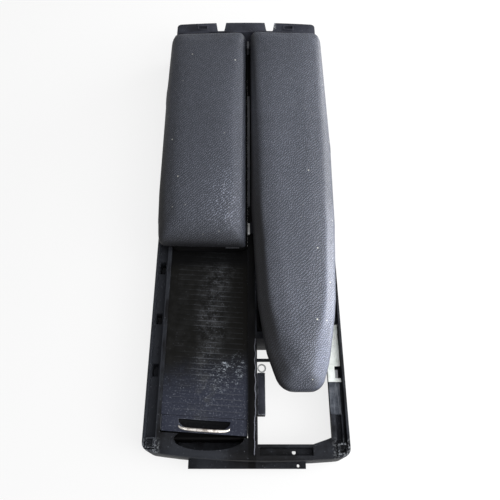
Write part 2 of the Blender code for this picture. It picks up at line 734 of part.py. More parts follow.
def rear_bracket():
    """The bowed plate screwed on the rear member, with two notches and two clip windows."""
    half = BRACKET_WIDTH / 2
    bottom = RIM_TOP + GAP
    top = bottom + BRACKET_THICKNESS
    xs = [half - BRACKET_WIDTH * index / 10 for index in range(11)]
    corners = [(-half, BRACKET_FRONT, 1.0), (half, BRACKET_FRONT, 1.0)]
    for x in xs:
        corners.append((x, bracket_edge(x), BRACKET_CORNER if x in (xs[0], xs[-1]) else 0.01))
    plate = prism("rear_bracket", spaced(rounded(corners), 0.2), bottom, top, "bracket_plastic")
    wall_half = half - UPSTAND_INSET
    stops = [wall_half - 2 * wall_half * index / 10 for index in range(11)]
    near = [(x, upstand_front(x)) for x in reversed(stops)]
    far = [(x, upstand_front(x) + UPSTAND_THICKNESS) for x in stops]
    join(plate, prism("join_upstand", near + far, bottom + 0.5, top + UPSTAND_HEIGHT))
    zs = (bottom - 1.0, top + 1.0)
    for index, x in enumerate(NOTCH_XS):
        cut(plate, prism(f"cut_notch_{index}", rounded(notch_outline(x)), *zs))
    for index, x in enumerate(WINDOW_XS):
        middle = bracket_edge(x) - NOTCH_DEPTH / 2
        ys = (middle - WINDOW_DEPTH / 2, middle + WINDOW_DEPTH / 2)
        window_xs = (x - WINDOW_WIDTH / 2, x + WINDOW_WIDTH / 2)
        socket_xs = (window_xs[0] - SOCKET_WALL, window_xs[1] + SOCKET_WALL)
        socket_ys = (ys[0] - SOCKET_WALL, ys[1] + SOCKET_WALL)
        floor = bottom - WINDOW_SOCKET
        socket_zs = (floor - SOCKET_WALL, bottom + 0.5)
        join(plate, block(f"join_window_{index}", socket_xs, socket_ys, socket_zs))
        cut(plate, block(f"cut_window_{index}", window_xs, ys, (floor, zs[1])))
    for index, x in enumerate(BRACKET_SCREW_XS):
        cut(plate, screw_hole(f"cut_plate_screw_{index}", x, bracket_screw_y(), *zs))
        turned_up(f"bracket_screw_{index + 1}", x, bracket_screw_y(), screw_steps(top), "hinge_steel")


def notch_outline(x):
    """A notch that narrows from the bracket's rear edge to a round floor."""
    rear = bracket_edge(x)
    floor = rear - NOTCH_DEPTH
    slope = (NOTCH_WIDTH - NOTCH_FLOOR) / 2 / NOTCH_DEPTH
    mouth = NOTCH_WIDTH / 2 + slope * CUT_MARGIN
    return [
        (x - NOTCH_FLOOR / 2, floor, NOTCH_FLOOR / 2),
        (x + NOTCH_FLOOR / 2, floor, NOTCH_FLOOR / 2),
        (x + mouth, rear + CUT_MARGIN, 0.01),
        (x - mouth, rear + CUT_MARGIN, 0.01),
    ]


def tub(name, xs, ys, bottom, top, finish="black_plastic"):
    """An open-topped moulded tub with rounded corners."""
    outline = rectangle(xs, ys, BIN_CORNER)
    made = prism(name, rounded(outline), bottom, top, finish, smooth=True)
    hollow = prism(f"cut_{name}", rounded(inset(outline, BIN_WALL)), bottom + BIN_WALL, top + CUT_MARGIN)
    cut(made, hollow)
    return inset(outline, BIN_WALL + GAP)


def bins_and_mats():
    """Cup bin with its cup plate, right bin, left tray, and a mat in each."""
    left = (-BAY_SIDE + GAP, DIVIDER_LEFT - GAP)
    inner = tub("cup_bin", left, (BAY_FRONT + GAP, CUP_BIN_REAR), BIN_FLOOR, CUP_BIN_TOP)
    floor = BIN_FLOOR + BIN_WALL + GAP
    prism("cup_bin_mat", rounded(inner), floor, floor + MAT_THICKNESS, "mat_rubber")
    plate_bottom = CUP_PLATE_TOP - CUP_PLATE_THICKNESS
    plate = prism("cup_plate", rounded(inner), plate_bottom, CUP_PLATE_TOP, "black_plastic")
    middle = (BAY_FRONT + CUP_BIN_REAR) / 2
    for index, side in enumerate((-1, 1)):
        y = middle + side * CUP_HOLE_PITCH / 2
        rings = []
        for height in (plate_bottom - 1.0, CUP_PLATE_TOP + 1.0):
            ring = []
            for point in range(2 * ROUND):
                angle = math.pi * point / ROUND
                x = LEFT_BAY_MIDDLE + CUP_HOLE_RADIUS * math.cos(angle)
                ring.append((x, y + CUP_HOLE_RADIUS * math.sin(angle), height))
            rings.append(ring)
        cut(plate, loft(f"cut_cup_hole_{index}", rings))

    right = (DIVIDER_RIGHT + GAP, BAY_SIDE - GAP)
    ys = (BIN_WALL_REAR + GAP, BAY_REAR - GAP)
    inner = tub("right_bin", right, ys, BIN_FLOOR, RIGHT_BIN_TOP)
    prism("right_bin_mat", rounded(inner), floor, floor + MAT_THICKNESS, "mat_rubber")

    outline = rectangle(left, (TRAY_FRONT, BAY_REAR - GAP), BIN_CORNER)
    tray = prism("left_tray", rounded(outline), TRAY_FLOOR, TRAY_FLOOR + TRAY_DEPTH, "black_plastic")
    sunk = inset(outline, TRAY_SHEET)
    cut(tray, prism("cut_left_tray", rounded(sunk), TRAY_FLOOR + TRAY_SHEET, RIM_TOP + CUT_MARGIN))
    mat = rounded(inset(sunk, GAP))
    low = TRAY_FLOOR + TRAY_SHEET + GAP
    prism("left_tray_mat", mat, low, low + MAT_THICKNESS * 0.8, "mat_rubber")


def left_lid_outline():
    """Left pad seen from above at its widest, anticlockwise."""
    return [
        (-LID_SIDE + 4.4, LEFT_LID_FRONT + 2.4, 10.0),
        (LEFT_LID_SLIT, LEFT_LID_FRONT, 3.0),
        (LEFT_LID_SLIT, LID_REAR, 3.0),
        (-LID_SIDE + 1.6, LID_REAR - 3.6, 12.0),
        (-LID_SIDE, LID_REAR - 110.0, 500.0),
        (-LID_SIDE + 1.0, LEFT_LID_FRONT + 70.0, 400.0),
    ]


def right_lid_outline():
    """Right pad seen from above at its widest: it narrows to a rounded nose."""
    return [
        (RIGHT_LID_SLIT + 29.0, RIGHT_LID_FRONT, 20.0),
        (LID_SIDE - 30.0, RIGHT_LID_FRONT, 16.0),
        (LID_SIDE - 19.8, RIGHT_LID_FRONT + 31.0, 150.0),
        (LID_SIDE - 9.2, RIGHT_LID_FRONT + 90.0, 300.0),
        (LID_SIDE - 2.8, RIGHT_LID_FRONT + 190.0, 500.0),
        (LID_SIDE, RIGHT_LID_FRONT + 300.0, 600.0),
        (LID_SIDE - 1.4, LID_REAR - 3.6, 12.0),
        (RIGHT_LID_SLIT, LID_REAR, 3.0),
        (RIGHT_LID_SLIT, RIGHT_LID_FRONT + 215.0, 400.0),
        (RIGHT_LID_SLIT + 6.6, RIGHT_LID_FRONT + 96.0, 200.0),
        (RIGHT_LID_SLIT + 14.5, RIGHT_LID_FRONT + 43.0, 90.0),
    ]


def bevel_reach(y):
    """How far in the pads' bevel ends: it widens from the lids' rear to the long lid's nose."""
    share = (LID_REAR - y) / (LID_REAR - RIGHT_LID_FRONT)
    return PAD_BEVEL_REAR + (PAD_BEVEL_FRONT - PAD_BEVEL_REAR) * share


def pad(name, outline):
    """Padded top: tucked in at its foot, widest low down, bevelled up to a slightly crowned top."""
    rings = []
    for step in range(4):
        angle = math.pi / 2 * step / 4
        inward = PAD_TUCK * (1 - math.sin(angle))
        rings.append((inward, PAD_WIDEST * (1 - math.cos(angle))))
    rings.append((0.0, PAD_WIDEST))
    foot_in, foot_up = PAD_BEVEL_FOOT
    rings.append((foot_in * 0.3, PAD_WIDEST + foot_up * 0.6))
    rings.append((foot_in, PAD_WIDEST + foot_up))
    rings.append((bevel_reach, PAD_WIDEST + PAD_BEVEL_TOP))
    rings.append((PAD_CROWN_INSET, PAD_WIDEST + PAD_BEVEL_TOP + PAD_CROWN))
    solid = []
    for inward, height in rings:
        points = rounded(inset(outline, inward))
        solid.append([(x, y, PAD_BOTTOM + height) for x, y in points])
    return loft(name, solid, "pad_leather", smooth=True)


def liner_outline(side):
    """The liner's panel, behind the buttons and clear of the long lid's nose."""
    rim = LID_BASE_INSET + LINER_INSET
    if side < 0:
        xs = (-LID_SIDE + rim, LEFT_LID_SLIT - rim)
        return rectangle(xs, (LEFT_LID_FRONT + rim, LID_REAR - rim), LINER_CORNER)
    front = RIGHT_LID_FRONT + RIGHT_LINER_SETBACK
    inner = right_base_edge(RIGHT_BUTTON_Y - BUTTON_LENGTH / 2) + LINER_INSET
    return rectangle((inner, LID_SIDE - rim), (front, LID_REAR - rim), LINER_CORNER)


def lid_base(name, outline, side, hinge_ys):
    """Moulded lid base with two pairs of knuckles and a liner recess."""
    bottom = LID_BASE_BOTTOM
    top = bottom + LID_BASE_THICKNESS
    edge = inset(outline, LID_BASE_INSET)
    base = prism(name, rounded(edge), bottom, top, "black_plastic")
    axis_x = side * HINGE_X
    web_xs = sorted((axis_x, side * (LID_SIDE - LID_BASE_INSET - 6.0)))
    reach = LEAF_LENGTH / 2 + RUNNING_GAP
    for hinge, y in enumerate(hinge_ys):
        for end in (-1, 1):
            ys = sorted((y + end * reach, y + end * (reach + LID_KNUCKLE_LENGTH)))
            tag = f"{name}_{hinge}_{end}"
            web = block(f"join_web_{tag}", web_xs, ys, (bottom + 0.2, HINGE_Z + 2.0))
            ends = [(axis_x, ys[0] - 0.05, HINGE_Z), (axis_x, ys[1] + 0.05, HINGE_Z)]
            knuckle = cylinder(f"join_knuckle_{tag}", *ends, KNUCKLE_RADIUS)
            join(base, web, knuckle)
        span = reach + LID_KNUCKLE_LENGTH + 2.0
        ends = [(axis_x, y - span, HINGE_Z), (axis_x, y + span, HINGE_Z)]
        cut(base, cylinder(f"cut_bore_{name}_{hinge}", *ends, BORE_RADIUS))
    recess = liner_outline(side)
    cut(base, prism(f"cut_recess_{name}", rounded(recess), bottom - 1.0, bottom + LINER_THICKNESS + GAP))
    liner = rounded(inset(recess, GAP))
    lid = "left" if side < 0 else "right"
    prism(f"{lid}_lid_liner", liner, bottom, bottom + LINER_THICKNESS, "liner_felt")
    return base


def tongue(base, side):
    """The latch tongue that drops beside the striker."""
    striker_side = SLIT_X + side * (STRIKER_WIDTH / 2 + RUNNING_GAP)
    ys = (TONGUE_Y - TONGUE_LENGTH / 2, TONGUE_Y + TONGUE_LENGTH / 2)
    slit = LEFT_LID_SLIT - LID_BASE_INSET if side < 0 else RIGHT_LID_SLIT + LID_BASE_INSET
    arm = sorted((striker_side, slit + side * 5.0))
    foot = sorted((striker_side, striker_side + side * 2.0))
    arm_zs = (LID_BASE_BOTTOM + 0.4, LID_BASE_BOTTOM + 3.0)
    join(base, block(f"join_arm_{side}", arm, ys, arm_zs))
    foot_ys = (ys[0] + 0.5, ys[1] - 0.5)
    foot_zs = (LID_BASE_BOTTOM - TONGUE_DROP, arm_zs[1] - 0.5)
    join(base, block(f"join_foot_{side}", foot, foot_ys, foot_zs))


def left_lid():
    outline = left_lid_outline()
    base = lid_base("left_lid_base", outline, -1, LEFT_HINGE_YS)
    tongue(base, -1)
    front = LEFT_LID_FRONT + LID_BASE_INSET
    zs = (LID_BASE_BOTTOM + 1.0, LID_BASE_BOTTOM + 1.0 + BUTTON_HEIGHT)
    xs = (LEFT_BUTTON_X - BUTTON_LENGTH / 2, LEFT_BUTTON_X + BUTTON_LENGTH / 2)
    ys = (front - BUTTON_PROUD, front - BUTTON_PROUD + BUTTON_DEPTH)
    pocket = block(
        "cut_left_button",
        (xs[0] - GAP, xs[1] + GAP),
        (front - 3.0, ys[1] + BUTTON_TRAVEL + RUNNING_GAP),
        (zs[0] - GAP, zs[1] + GAP),
    )
    cut(base, pocket)
    pieces = ["left_lid_base", "left_lid_liner", pad("left_lid_pad", outline).name]
    block("left_latch_button", xs, ys, zs, "grey_plastic")
    return pieces


def right_lid():
    outline = right_lid_outline()
    base = lid_base("right_lid_base", outline, 1, RIGHT_HINGE_YS)
    tongue(base, 1)
    edge = right_base_edge(RIGHT_BUTTON_Y)
    zs = (LID_BASE_BOTTOM + 1.0, LID_BASE_BOTTOM + 1.0 + BUTTON_HEIGHT)
    ys = (RIGHT_BUTTON_Y - BUTTON_LENGTH / 2, RIGHT_BUTTON_Y + BUTTON_LENGTH / 2)
    xs = (edge - BUTTON_PROUD, edge - BUTTON_PROUD + BUTTON_DEPTH)
    pocket = block(
        "cut_right_button",
        (edge - 3.0, xs[1] + BUTTON_TRAVEL + RUNNING_GAP),
        (ys[0] - GAP, ys[1] + GAP),
        (zs[0] - GAP, zs[1] + GAP),
    )
    cut(base, pocket)
    pieces = ["right_lid_base", "right_lid_liner", pad("right_lid_pad", outline).name]
    block("right_latch_button", xs, ys, zs, "grey_plastic")
    return pieces


def right_base_edge(y):
    """X of the right lid base's inner edge at this Y."""
    edge = inset(right_lid_outline(), LID_BASE_INSET)
    for here, after in zip(edge[7:], edge[8:]):
        if after[1] <= y <= here[1]:
            share = (here[1] - y) / (here[1] - after[1])
            return here[0] + share * (after[0] - here[0])
    return edge[7][0]


def leaf_profile(side):
    """Foot on the ledge, riser beside the outer wall, and the knuckle on top, in X and Z."""
    foot = LEDGE_TOP + GAP
    wall_side = CHANNEL_OUTER - GAP
    riser = wall_side - LEAF_THICKNESS - 1.0
    start = 2 * math.pi - math.acos((riser - HINGE_X) / KNUCKLE_RADIUS)
    end = -math.acos((wall_side - HINGE_X) / KNUCKLE_RADIUS)
    points = [(wall_side, foot), (CHANNEL_INNER + GAP, foot)]
    points += [(CHANNEL_INNER + GAP, foot + LEAF_THICKNESS), (riser, foot + LEAF_THICKNESS)]
    for step in range(ROUND + 1):
        angle = start + (end - start) * step / ROUND
        x = HINGE_X + KNUCKLE_RADIUS * math.cos(angle)
        points.append((x, HINGE_Z + KNUCKLE_RADIUS * math.sin(angle)))
    return [(side * x, z) for x, z in points]


def knuckle_span():
    """From a hinge's middle to the outer end of its knuckles."""
    return LEAF_LENGTH / 2 + RUNNING_GAP + LID_KNUCKLE_LENGTH


def hinge(side, y, name, sprung):
    """Frame leaf, its screw, and the headed pin through all three knuckles."""
    ys = (y - LEAF_LENGTH / 2, y + LEAF_LENGTH / 2)
    leaf = bar_along_y(f"{name}_leaf", leaf_profile(side), *ys, "hinge_steel", smooth=True)
    axis_x = side * HINGE_X
    ends = [(axis_x, ys[0] - 2.0, HINGE_Z), (axis_x, ys[1] + 2.0, HINGE_Z)]
    cut(leaf, cylinder(f"cut_{name}_leaf", *ends, BORE_RADIUS))
    seat = LEDGE_TOP + GAP + LEAF_THICKNESS
    x = side * leaf_screw_x()
    cut(leaf, screw_hole(f"cut_{name}_foot", x, y, LEDGE_TOP - 1.0, seat + 1.0))
    turned_up(f"{name}_screw", x, y, screw_steps(seat), "hinge_steel")
    reach = knuckle_span() + GAP
    tail = reach + PIN_HEAD
    if sprung:
        tail += SPRING_TURNS * SPRING_PITCH + 2 * SPRING_WIRE + RUNNING_GAP
        hinge_spring(side, y, f"{name}_spring")
    rings = []
    for radius, place in (
        (PIN_HEAD_RADIUS, -reach - PIN_HEAD),
        (PIN_HEAD_RADIUS, -reach),
        (PIN_RADIUS, -reach),
        (PIN_RADIUS, tail),
    ):
        ring = []
        for index in range(ROUND):
            angle = 2 * math.pi * index / ROUND
            around = (radius * math.cos(angle), radius * math.sin(angle))
            ring.append((axis_x + around[0], y + place, HINGE_Z + around[1]))
        rings.append(ring)
    loft(f"{name}_pin", rings, "hinge_steel", smooth=True)


def small_pieces():
    """The bumpers that the lids rest on, and what lies on the divider, the ledge and its side."""
    bumpers()
    slit_pieces()
    rail_pads()
    side_box_and_ring()


def bumpers():
    top = LID_BASE_BOTTOM - GAP
    rear_y = (BAY_REAR + LID_REAR - LID_BASE_INSET) / 2
    lids = (("left", LEFT_BAY_MIDDLE), ("right", (DIVIDER_RIGHT + BAY_SIDE) / 2))
    for lid, x in lids:
        steps = [(BUMPER_RADIUS, RIM_TOP + GAP), (BUMPER_RADIUS * 0.8, top)]
        turned_up(f"{lid}_rear_bumper", x, rear_y, steps, "mat_rubber")
    steps = [(BUMPER_RADIUS, TRACK_TOP + GAP), (BUMPER_RADIUS * 0.8, top)]
    turned_up("right_front_bumper", lids[1][1], BIN_WALL_RIB_Y, steps, "mat_rubber")
    wall_xs = (-CHANNEL_INNER + GAP, -BAY_SIDE - GAP)
    bumper_front = LEFT_LID_FRONT + LID_BASE_INSET + 4.0
    ys = (bumper_front, bumper_front + 12.0)
    block("left_front_bumper", wall_xs, ys, (TRACK_TOP + GAP, top), "mat_rubber")


def slit_pieces():
    """Striker, strip and rest on the divider, seen between the lids."""
    low = TRACK_TOP + GAP
    xs = (SLIT_X - STRIKER_WIDTH / 2, SLIT_X + STRIKER_WIDTH / 2)
    xs = (max(xs[0], DIVIDER_LEFT + 0.2), xs[1])
    ys = (TONGUE_Y - TONGUE_LENGTH / 2, TONGUE_Y + TONGUE_LENGTH / 2)
    block("latch_striker", xs, ys, (low, low + STRIKER_HEIGHT), "hinge_steel")
    strip_x = (xs[0], xs[0] + STRIP_WIDTH)
    block("spine_strip", strip_x, STRIP_Y, (low, low + STRIP_HEIGHT), "grey_plastic")
    rest_x = (SLIT_X - REST_WIDTH / 2, SLIT_X + REST_WIDTH / 2)
    rest_y = (BRACKET_FRONT - GAP - REST_LENGTH, BRACKET_FRONT - GAP)
    block("centre_rest", rest_x, rest_y, (RIM_TOP + GAP, PAD_BOTTOM + REST_RISE), "grey_plastic")


def rail_pads():
    """The foam pad round the right ledge's window, and the felt pad ahead of it."""
    ledge = LEDGE_TOP + GAP
    pad_x = (BAY_SIDE + GAP, CHANNEL_OUTER - GAP)
    label = block("label_pad", pad_x, LABEL_PAD_Y, (ledge, ledge + LABEL_PAD_THICKNESS), "label_foam")
    window_x = (CHANNEL_OUTER - 0.5 - LABEL_WINDOW_WIDTH, CHANNEL_OUTER + 1.0)
    cut(label, block("cut_label_window", window_x, LABEL_WINDOW_Y, (LEDGE_TOP, ledge + 5.0)))
    felt_x = (pad_x[0], pad_x[1] - FELT_PAD_STEP)
    block("felt_pad", felt_x, FELT_PAD_Y, (ledge, ledge + FELT_PAD_THICKNESS), "liner_felt")


def side_box_and_ring():
    """The dark box on the divider's right side, with a wire ring behind it."""
    box_x = (DIVIDER_RIGHT + GAP, DIVIDER_RIGHT + GAP + SIDE_BOX_WIDTH)
    box_top = TRACK_TOP - SIDE_BOX_DROP
    block("side_box", box_x, SIDE_BOX_Y, (box_top - SIDE_BOX_HEIGHT, box_top), "black_plastic")
    ring_y = SIDE_BOX_Y[1] + GAP + RING_RADIUS + RING_WIRE
    ring_x = DIVIDER_RIGHT + GAP + RING_RADIUS + RING_WIRE
    ring_z = box_top - RING_WIRE - 1.0
    points = []
    for index in range(ROUND):
        angle = 2 * math.pi * index / ROUND
        around = (RING_RADIUS * math.cos(angle), RING_RADIUS * math.sin(angle))
        points.append((ring_x + around[0], ring_y + around[1], ring_z))
    tube_along("side_ring", points, RING_WIRE, 6, (0, 0, 1), "hinge_steel", closed=True)


def skewed(made):
    """Leans a shutter piece so that its bars match the skew of the ribs."""
    for vertex in made.data.vertices:
        vertex.co.y = curtain_y(vertex.co.x / MM, vertex.co.y / MM) * MM
    return made


def handle_curve(side, front, rear=0.0):
    """The pull's outline from end to end: a flat front with rounded ends, moved in on three sides."""
    half = HANDLE_WIDTH / 2 - side
    back = SHUTTER_FRONT + HANDLE_SETBACK + HANDLE_BOW - rear
    bow = HANDLE_BOW - front - rear
    points = []
    for step in range(ROUND + 1):
        angle = math.pi * (1 + step / ROUND)
        across = math.copysign(math.sqrt(abs(math.cos(angle))), math.cos(angle))
        points.append((LEFT_BAY_MIDDLE + half * across, back + bow * math.sin(angle)))
    return points


def shutter():
    """Ribbed curtain, its front bar, two guide shoes and the bowed pull."""
    edge = TRACK_DEPTH - GAP
    xs = (-BAY_SIDE - edge, DIVIDER_LEFT + edge)
    profile = [(CURTAIN_REAR, SHUTTER_BOTTOM), (CURTAIN_FRONT, SHUTTER_BOTTOM)]
    for slat in range(SLAT_COUNT):
        front = CURTAIN_FRONT + slat * SLAT_PITCH
        profile.append((front, SHUTTER_TOP))
        if slat + 1 < SLAT_COUNT:
            profile.append((front + SLAT_PITCH - SLAT_GROOVE, SHUTTER_TOP))
            profile.append((front + SLAT_PITCH - SLAT_GROOVE / 2, SHUTTER_TOP - SLAT_GROOVE))
    profile.append((CURTAIN_REAR, SHUTTER_TOP))
    rings = [[(x, y, z) for y, z in profile] for x in xs]
    skewed(loft("shutter_curtain", rings, "shutter_plastic"))

    bar_xs = (-BAY_SIDE + RUNNING_GAP, DIVIDER_LEFT - RUNNING_GAP)
    bar_zs = (SHUTTER_BOTTOM, SHUTTER_TOP)
    bar = skewed(block("shutter_bar", bar_xs, (SHUTTER_FRONT, BAR_REAR), bar_zs, "shutter_plastic"))
    floor = SHUTTER_TOP - HANDLE_POCKET
    well = handle_curve(-HANDLE_WELL_WALL, -HANDLE_WELL_WALL, -HANDLE_WELL_WALL)
    join(bar, skewed(prism("join_handle_well", well, floor - HANDLE_WELL_WALL, SHUTTER_BOTTOM + 0.5)))
    cut(bar, skewed(prism("cut_handle_pocket", handle_curve(0.0, 0.0), floor, SHUTTER_TOP + 1.0)))
    shoe_ys = (SHUTTER_FRONT + 1.0, BAR_REAR)
    for name, shoe_xs in (
        ("left", (xs[0], bar_xs[0] - GAP)),
        ("right", (bar_xs[1] + GAP, xs[1])),
    ):
        skewed(block(f"shutter_{name}_shoe", shoe_xs, shoe_ys, bar_zs, "grey_plastic"))

    inner = handle_curve(GAP + HANDLE_END, GAP + HANDLE_DEPTH, GAP)
    outline = handle_curve(GAP, GAP, GAP) + inner[::-1]
    skewed(prism("shutter_handle", outline, floor + GAP, SHUTTER_TOP + HANDLE_PROUD, "chrome"))


def hinge_spring(side, y, name):
    """A torsion spring on the pin's long tail, with a leg under the lid base."""
    axis_x = side * HINGE_X
    start = y + knuckle_span() + RUNNING_GAP + SPRING_WIRE
    points = [(axis_x - side * SPRING_LEG, start, HINGE_Z - SPRING_RADIUS)]
    steps = 12
    for step in range(SPRING_TURNS * steps + 1):
        angle = 2 * math.pi * step / steps
        x = axis_x + side * SPRING_RADIUS * math.sin(angle)
        z = HINGE_Z - SPRING_RADIUS * math.cos(angle)
        points.append((x, start + SPRING_PITCH * step / steps, z))
    tube_along(name, points, SPRING_WIRE, 6, (0, 1, 0), "hinge_steel")


def axis_empty(name, place):
    made = bpy.data.objects.new(name, None)
    made.empty_display_size = 0.02
    made.location = Vector(place) * MM
    bpy.context.scene.collection.objects.link(made)
    return made


def carry(carrier, names):
    """Parents pieces to the empty on their joint's axis, leaving them where they are."""
    for name in names:
        piece = bpy.data.objects[name]
        piece.parent = carrier
        piece.matrix_parent_inverse = Matrix.Translation(-carrier.location)


def build():
    for old in list(bpy.data.objects):
        bpy.data.objects.remove(old, do_unlink=True)
    console_frame()
    rear_bracket()
    bins_and_mats()
    small_pieces()
    for side, hinge_ys, lid in ((-1, LEFT_HINGE_YS, "left"), (1, RIGHT_HINGE_YS, "right")):
        for y, place in zip(hinge_ys, ("front", "rear")):
            hinge(side, y, f"{lid}_{place}_hinge", sprung=place == "rear")
    left_axis = axis_empty("left_lid_axis", (-HINGE_X, 0.0, HINGE_Z))
    right_axis = axis_empty("right_lid_axis", (HINGE_X, 0.0, HINGE_Z))
    shutter_axis = axis_empty("shutter_axis", (LEFT_BAY_MIDDLE, SHUTTER_FRONT, SHUTTER_TOP))
    carry(left_axis, left_lid() + ["left_latch_button"])
    carry(right_axis, right_lid() + ["right_latch_button"])
    shutter()
    shoes = ["shutter_left_shoe", "shutter_right_shoe"]
    carry(shutter_axis, ["shutter_curtain", "shutter_bar", "shutter_handle"] + shoes)


build()
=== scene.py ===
# %% [markdown]
# A center console armrest, finished for a picture.
# The part itself is already built: a moulded top with two padded lids, a ribbed shutter and an
# open bay. Here each surface gets the finish of the real thing, and the pieces whose charm is in
# fine shape, such as the pads and the shutter, are modelled again in place.

# %% Load the finished part
import math

import bmesh
import bpy
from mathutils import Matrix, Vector


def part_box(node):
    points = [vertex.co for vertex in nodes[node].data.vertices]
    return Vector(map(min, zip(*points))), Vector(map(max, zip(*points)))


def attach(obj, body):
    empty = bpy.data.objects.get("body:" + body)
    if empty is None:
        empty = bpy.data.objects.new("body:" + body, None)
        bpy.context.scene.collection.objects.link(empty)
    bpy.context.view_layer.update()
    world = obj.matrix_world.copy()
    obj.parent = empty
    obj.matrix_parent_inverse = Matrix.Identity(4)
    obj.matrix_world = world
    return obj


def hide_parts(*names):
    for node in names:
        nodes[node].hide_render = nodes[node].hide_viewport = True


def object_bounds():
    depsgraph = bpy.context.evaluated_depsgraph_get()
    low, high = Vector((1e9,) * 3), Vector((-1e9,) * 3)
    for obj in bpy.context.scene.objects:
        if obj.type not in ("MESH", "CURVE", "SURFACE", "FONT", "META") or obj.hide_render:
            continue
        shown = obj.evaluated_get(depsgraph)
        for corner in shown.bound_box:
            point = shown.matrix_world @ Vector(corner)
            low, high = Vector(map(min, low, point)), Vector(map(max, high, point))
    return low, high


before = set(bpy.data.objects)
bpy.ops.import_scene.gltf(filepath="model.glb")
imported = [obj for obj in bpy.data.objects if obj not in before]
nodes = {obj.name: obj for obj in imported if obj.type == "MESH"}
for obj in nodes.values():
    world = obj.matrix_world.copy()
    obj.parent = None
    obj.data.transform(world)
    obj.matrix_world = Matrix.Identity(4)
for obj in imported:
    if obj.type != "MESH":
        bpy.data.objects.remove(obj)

cad_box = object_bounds()
MM = 0.001
print("the part measures", [round((high - low) / MM, 1) for low, high in zip(*cad_box)], "mm")

# %% [markdown]
# The camera stands where the photographer stood: in front of the armrest and above it, looking
# 26 degrees short of straight down, close enough that the near end looks wider than the far end.
# It comes first, so that every later step can be checked through it.

# %% Camera
CAMERA_PLACE = (0.0, -0.3495, 0.6119)
CAMERA_TILT = math.radians(26.35)
CAMERA_LENS = 38.16
CAMERA_SHIFT = 0.008

bpy.ops.object.camera_add(location=CAMERA_PLACE, rotation=(CAMERA_TILT, 0.0, 0.0))
camera = bpy.context.object
camera.data.lens = CAMERA_LENS
camera.data.shift_x = CAMERA_SHIFT
bpy.context.scene.camera = camera
print("camera", round(camera.location.z, 3), "m above the floor")

# %% [markdown]
# Materials are drawn with sums on sockets. This small class holds one output of a node, and
# writing a + b on two of them adds a Math node. Everything else, such as a noise or a mix, comes
# from its one method, node. Reading a finish then feels like reading a recipe.

# %% Sockets that can be added and multiplied
class Wire:
    """One output of a shader node, with sums that become Math nodes."""

    def __init__(self, tree, socket=None):
        self.tree = tree
        self.socket = socket

    def node(self, kind, settings=None, inputs=None, out=0):
        """Adds a node: its settings first, then the value or link of each socket."""
        made = self.tree.nodes.new("ShaderNode" + kind)
        for name, value in (settings or {}).items():
            setattr(made, name, value)
        shown = [socket for socket in made.inputs if socket.enabled]
        for key, value in (inputs or {}).items():
            socket = shown[key] if isinstance(key, int) else next(s for s in shown if s.name == key)
            if isinstance(value, Wire):
                self.tree.links.new(value.socket, socket)
            else:
                socket.default_value = value
        outs = [socket for socket in made.outputs if socket.enabled and out in (0, socket.name)]
        return Wire(self.tree, outs[0] if outs else None)

    def maths(self, operation, *values):
        return self.node("Math", {"operation": operation}, dict(enumerate(values)))

    def __add__(self, other):
        return self.maths("ADD", self, other)

    def __radd__(self, other):
        return self.maths("ADD", other, self)

    def __sub__(self, other):
        return self.maths("SUBTRACT", self, other)

    def __rsub__(self, other):
        return self.maths("SUBTRACT", other, self)

    def __mul__(self, other):
        return self.maths("MULTIPLY", self, other)

    def __rmul__(self, other):
        return self.maths("MULTIPLY", other, self)


def seen(red, green, blue):
    """The colour that a screen shows as these three values from 0 to 255."""
    linear = []
    for value in (red, green, blue):
        share = value / 255
        linear.append(share / 12.92 if share <= 0.04045 else ((share + 0.055) / 1.055) ** 2.4)
    return (*linear, 1.0)


# %% [markdown]
# A few brushes are wanted again and again: one axis of a place, cloudy noise, a smooth step from
# nothing to full, a soft bell round a value, a mix of two colours, a mark on the mesh, and a bump.
# Each is one short function, so a finish can name what it paints and not which nodes it takes.

# %% Brushes
def axis(place, letter):
    """How far a place lies along X, Y or Z, in metres."""
    return place.node("SeparateXYZ", None, {"Vector": place}, letter)


def marked(place, name, kind="Fac"):
    """A value that the mesh itself carries under this name."""
    return place.node("Attribute", {"attribute_name": name}, out=kind)


def clouds(place, size, detail=3.0, roughness=0.5, stretch=(1.0, 1.0, 1.0), shift=0.0):
    """Noise from 0 to 1 with blotches of about this size, in metres."""
    move = {"Vector": place, "Location": (shift, shift, 0.0), "Scale": stretch}
    laid = place.node("Mapping", None, move)
    values = {"Vector": laid, "Scale": 1.0 / size, "Detail": detail, "Roughness": roughness}
    return place.node("TexNoise", None, values)


def step(value, start, end):
    """0 below start and 1 above end, smooth between. With start above end it falls instead."""
    values = {"Value": value, "From Min": start, "From Max": end, "To Min": 0.0, "To Max": 1.0}
    return value.node("MapRange", {"interpolation_type": "SMOOTHSTEP"}, values)


def bell(value, middle, width):
    """1 at the middle, fading to 0 at width on either side."""
    away = value - middle
    return step(away.maths("ABSOLUTE", away), width, 0.0)


def mixed(share, first, second):
    """The first colour where the share is 0 and the second where it is 1."""
    values = {"Factor": share, "A": first, "B": second}
    return share.node("Mix", {"data_type": "RGBA"}, values, "Result")


def bump(height, strength, depth, normal=None):
    """A rough surface from a height of 0 to 1, over another roughness if one is given."""
    values = {"Strength": strength, "Distance": depth, "Height": height}
    if normal:
        values["Normal"] = normal
    return height.node("Bump", None, values)


def finish(name, recipe):
    """A material whose recipe turns a place on the object into a shader's sockets."""
    made = bpy.data.materials.new(name)
    made.use_nodes = True
    made.node_tree.nodes.clear()
    place = Wire(made.node_tree).node("TexCoord", out="Object")
    shader = place.node("BsdfPrincipled", None, recipe(place))
    place.node("OutputMaterial", None, {"Surface": shader})
    print("finish", name, "has", len(made.node_tree.nodes), "nodes")
    return made


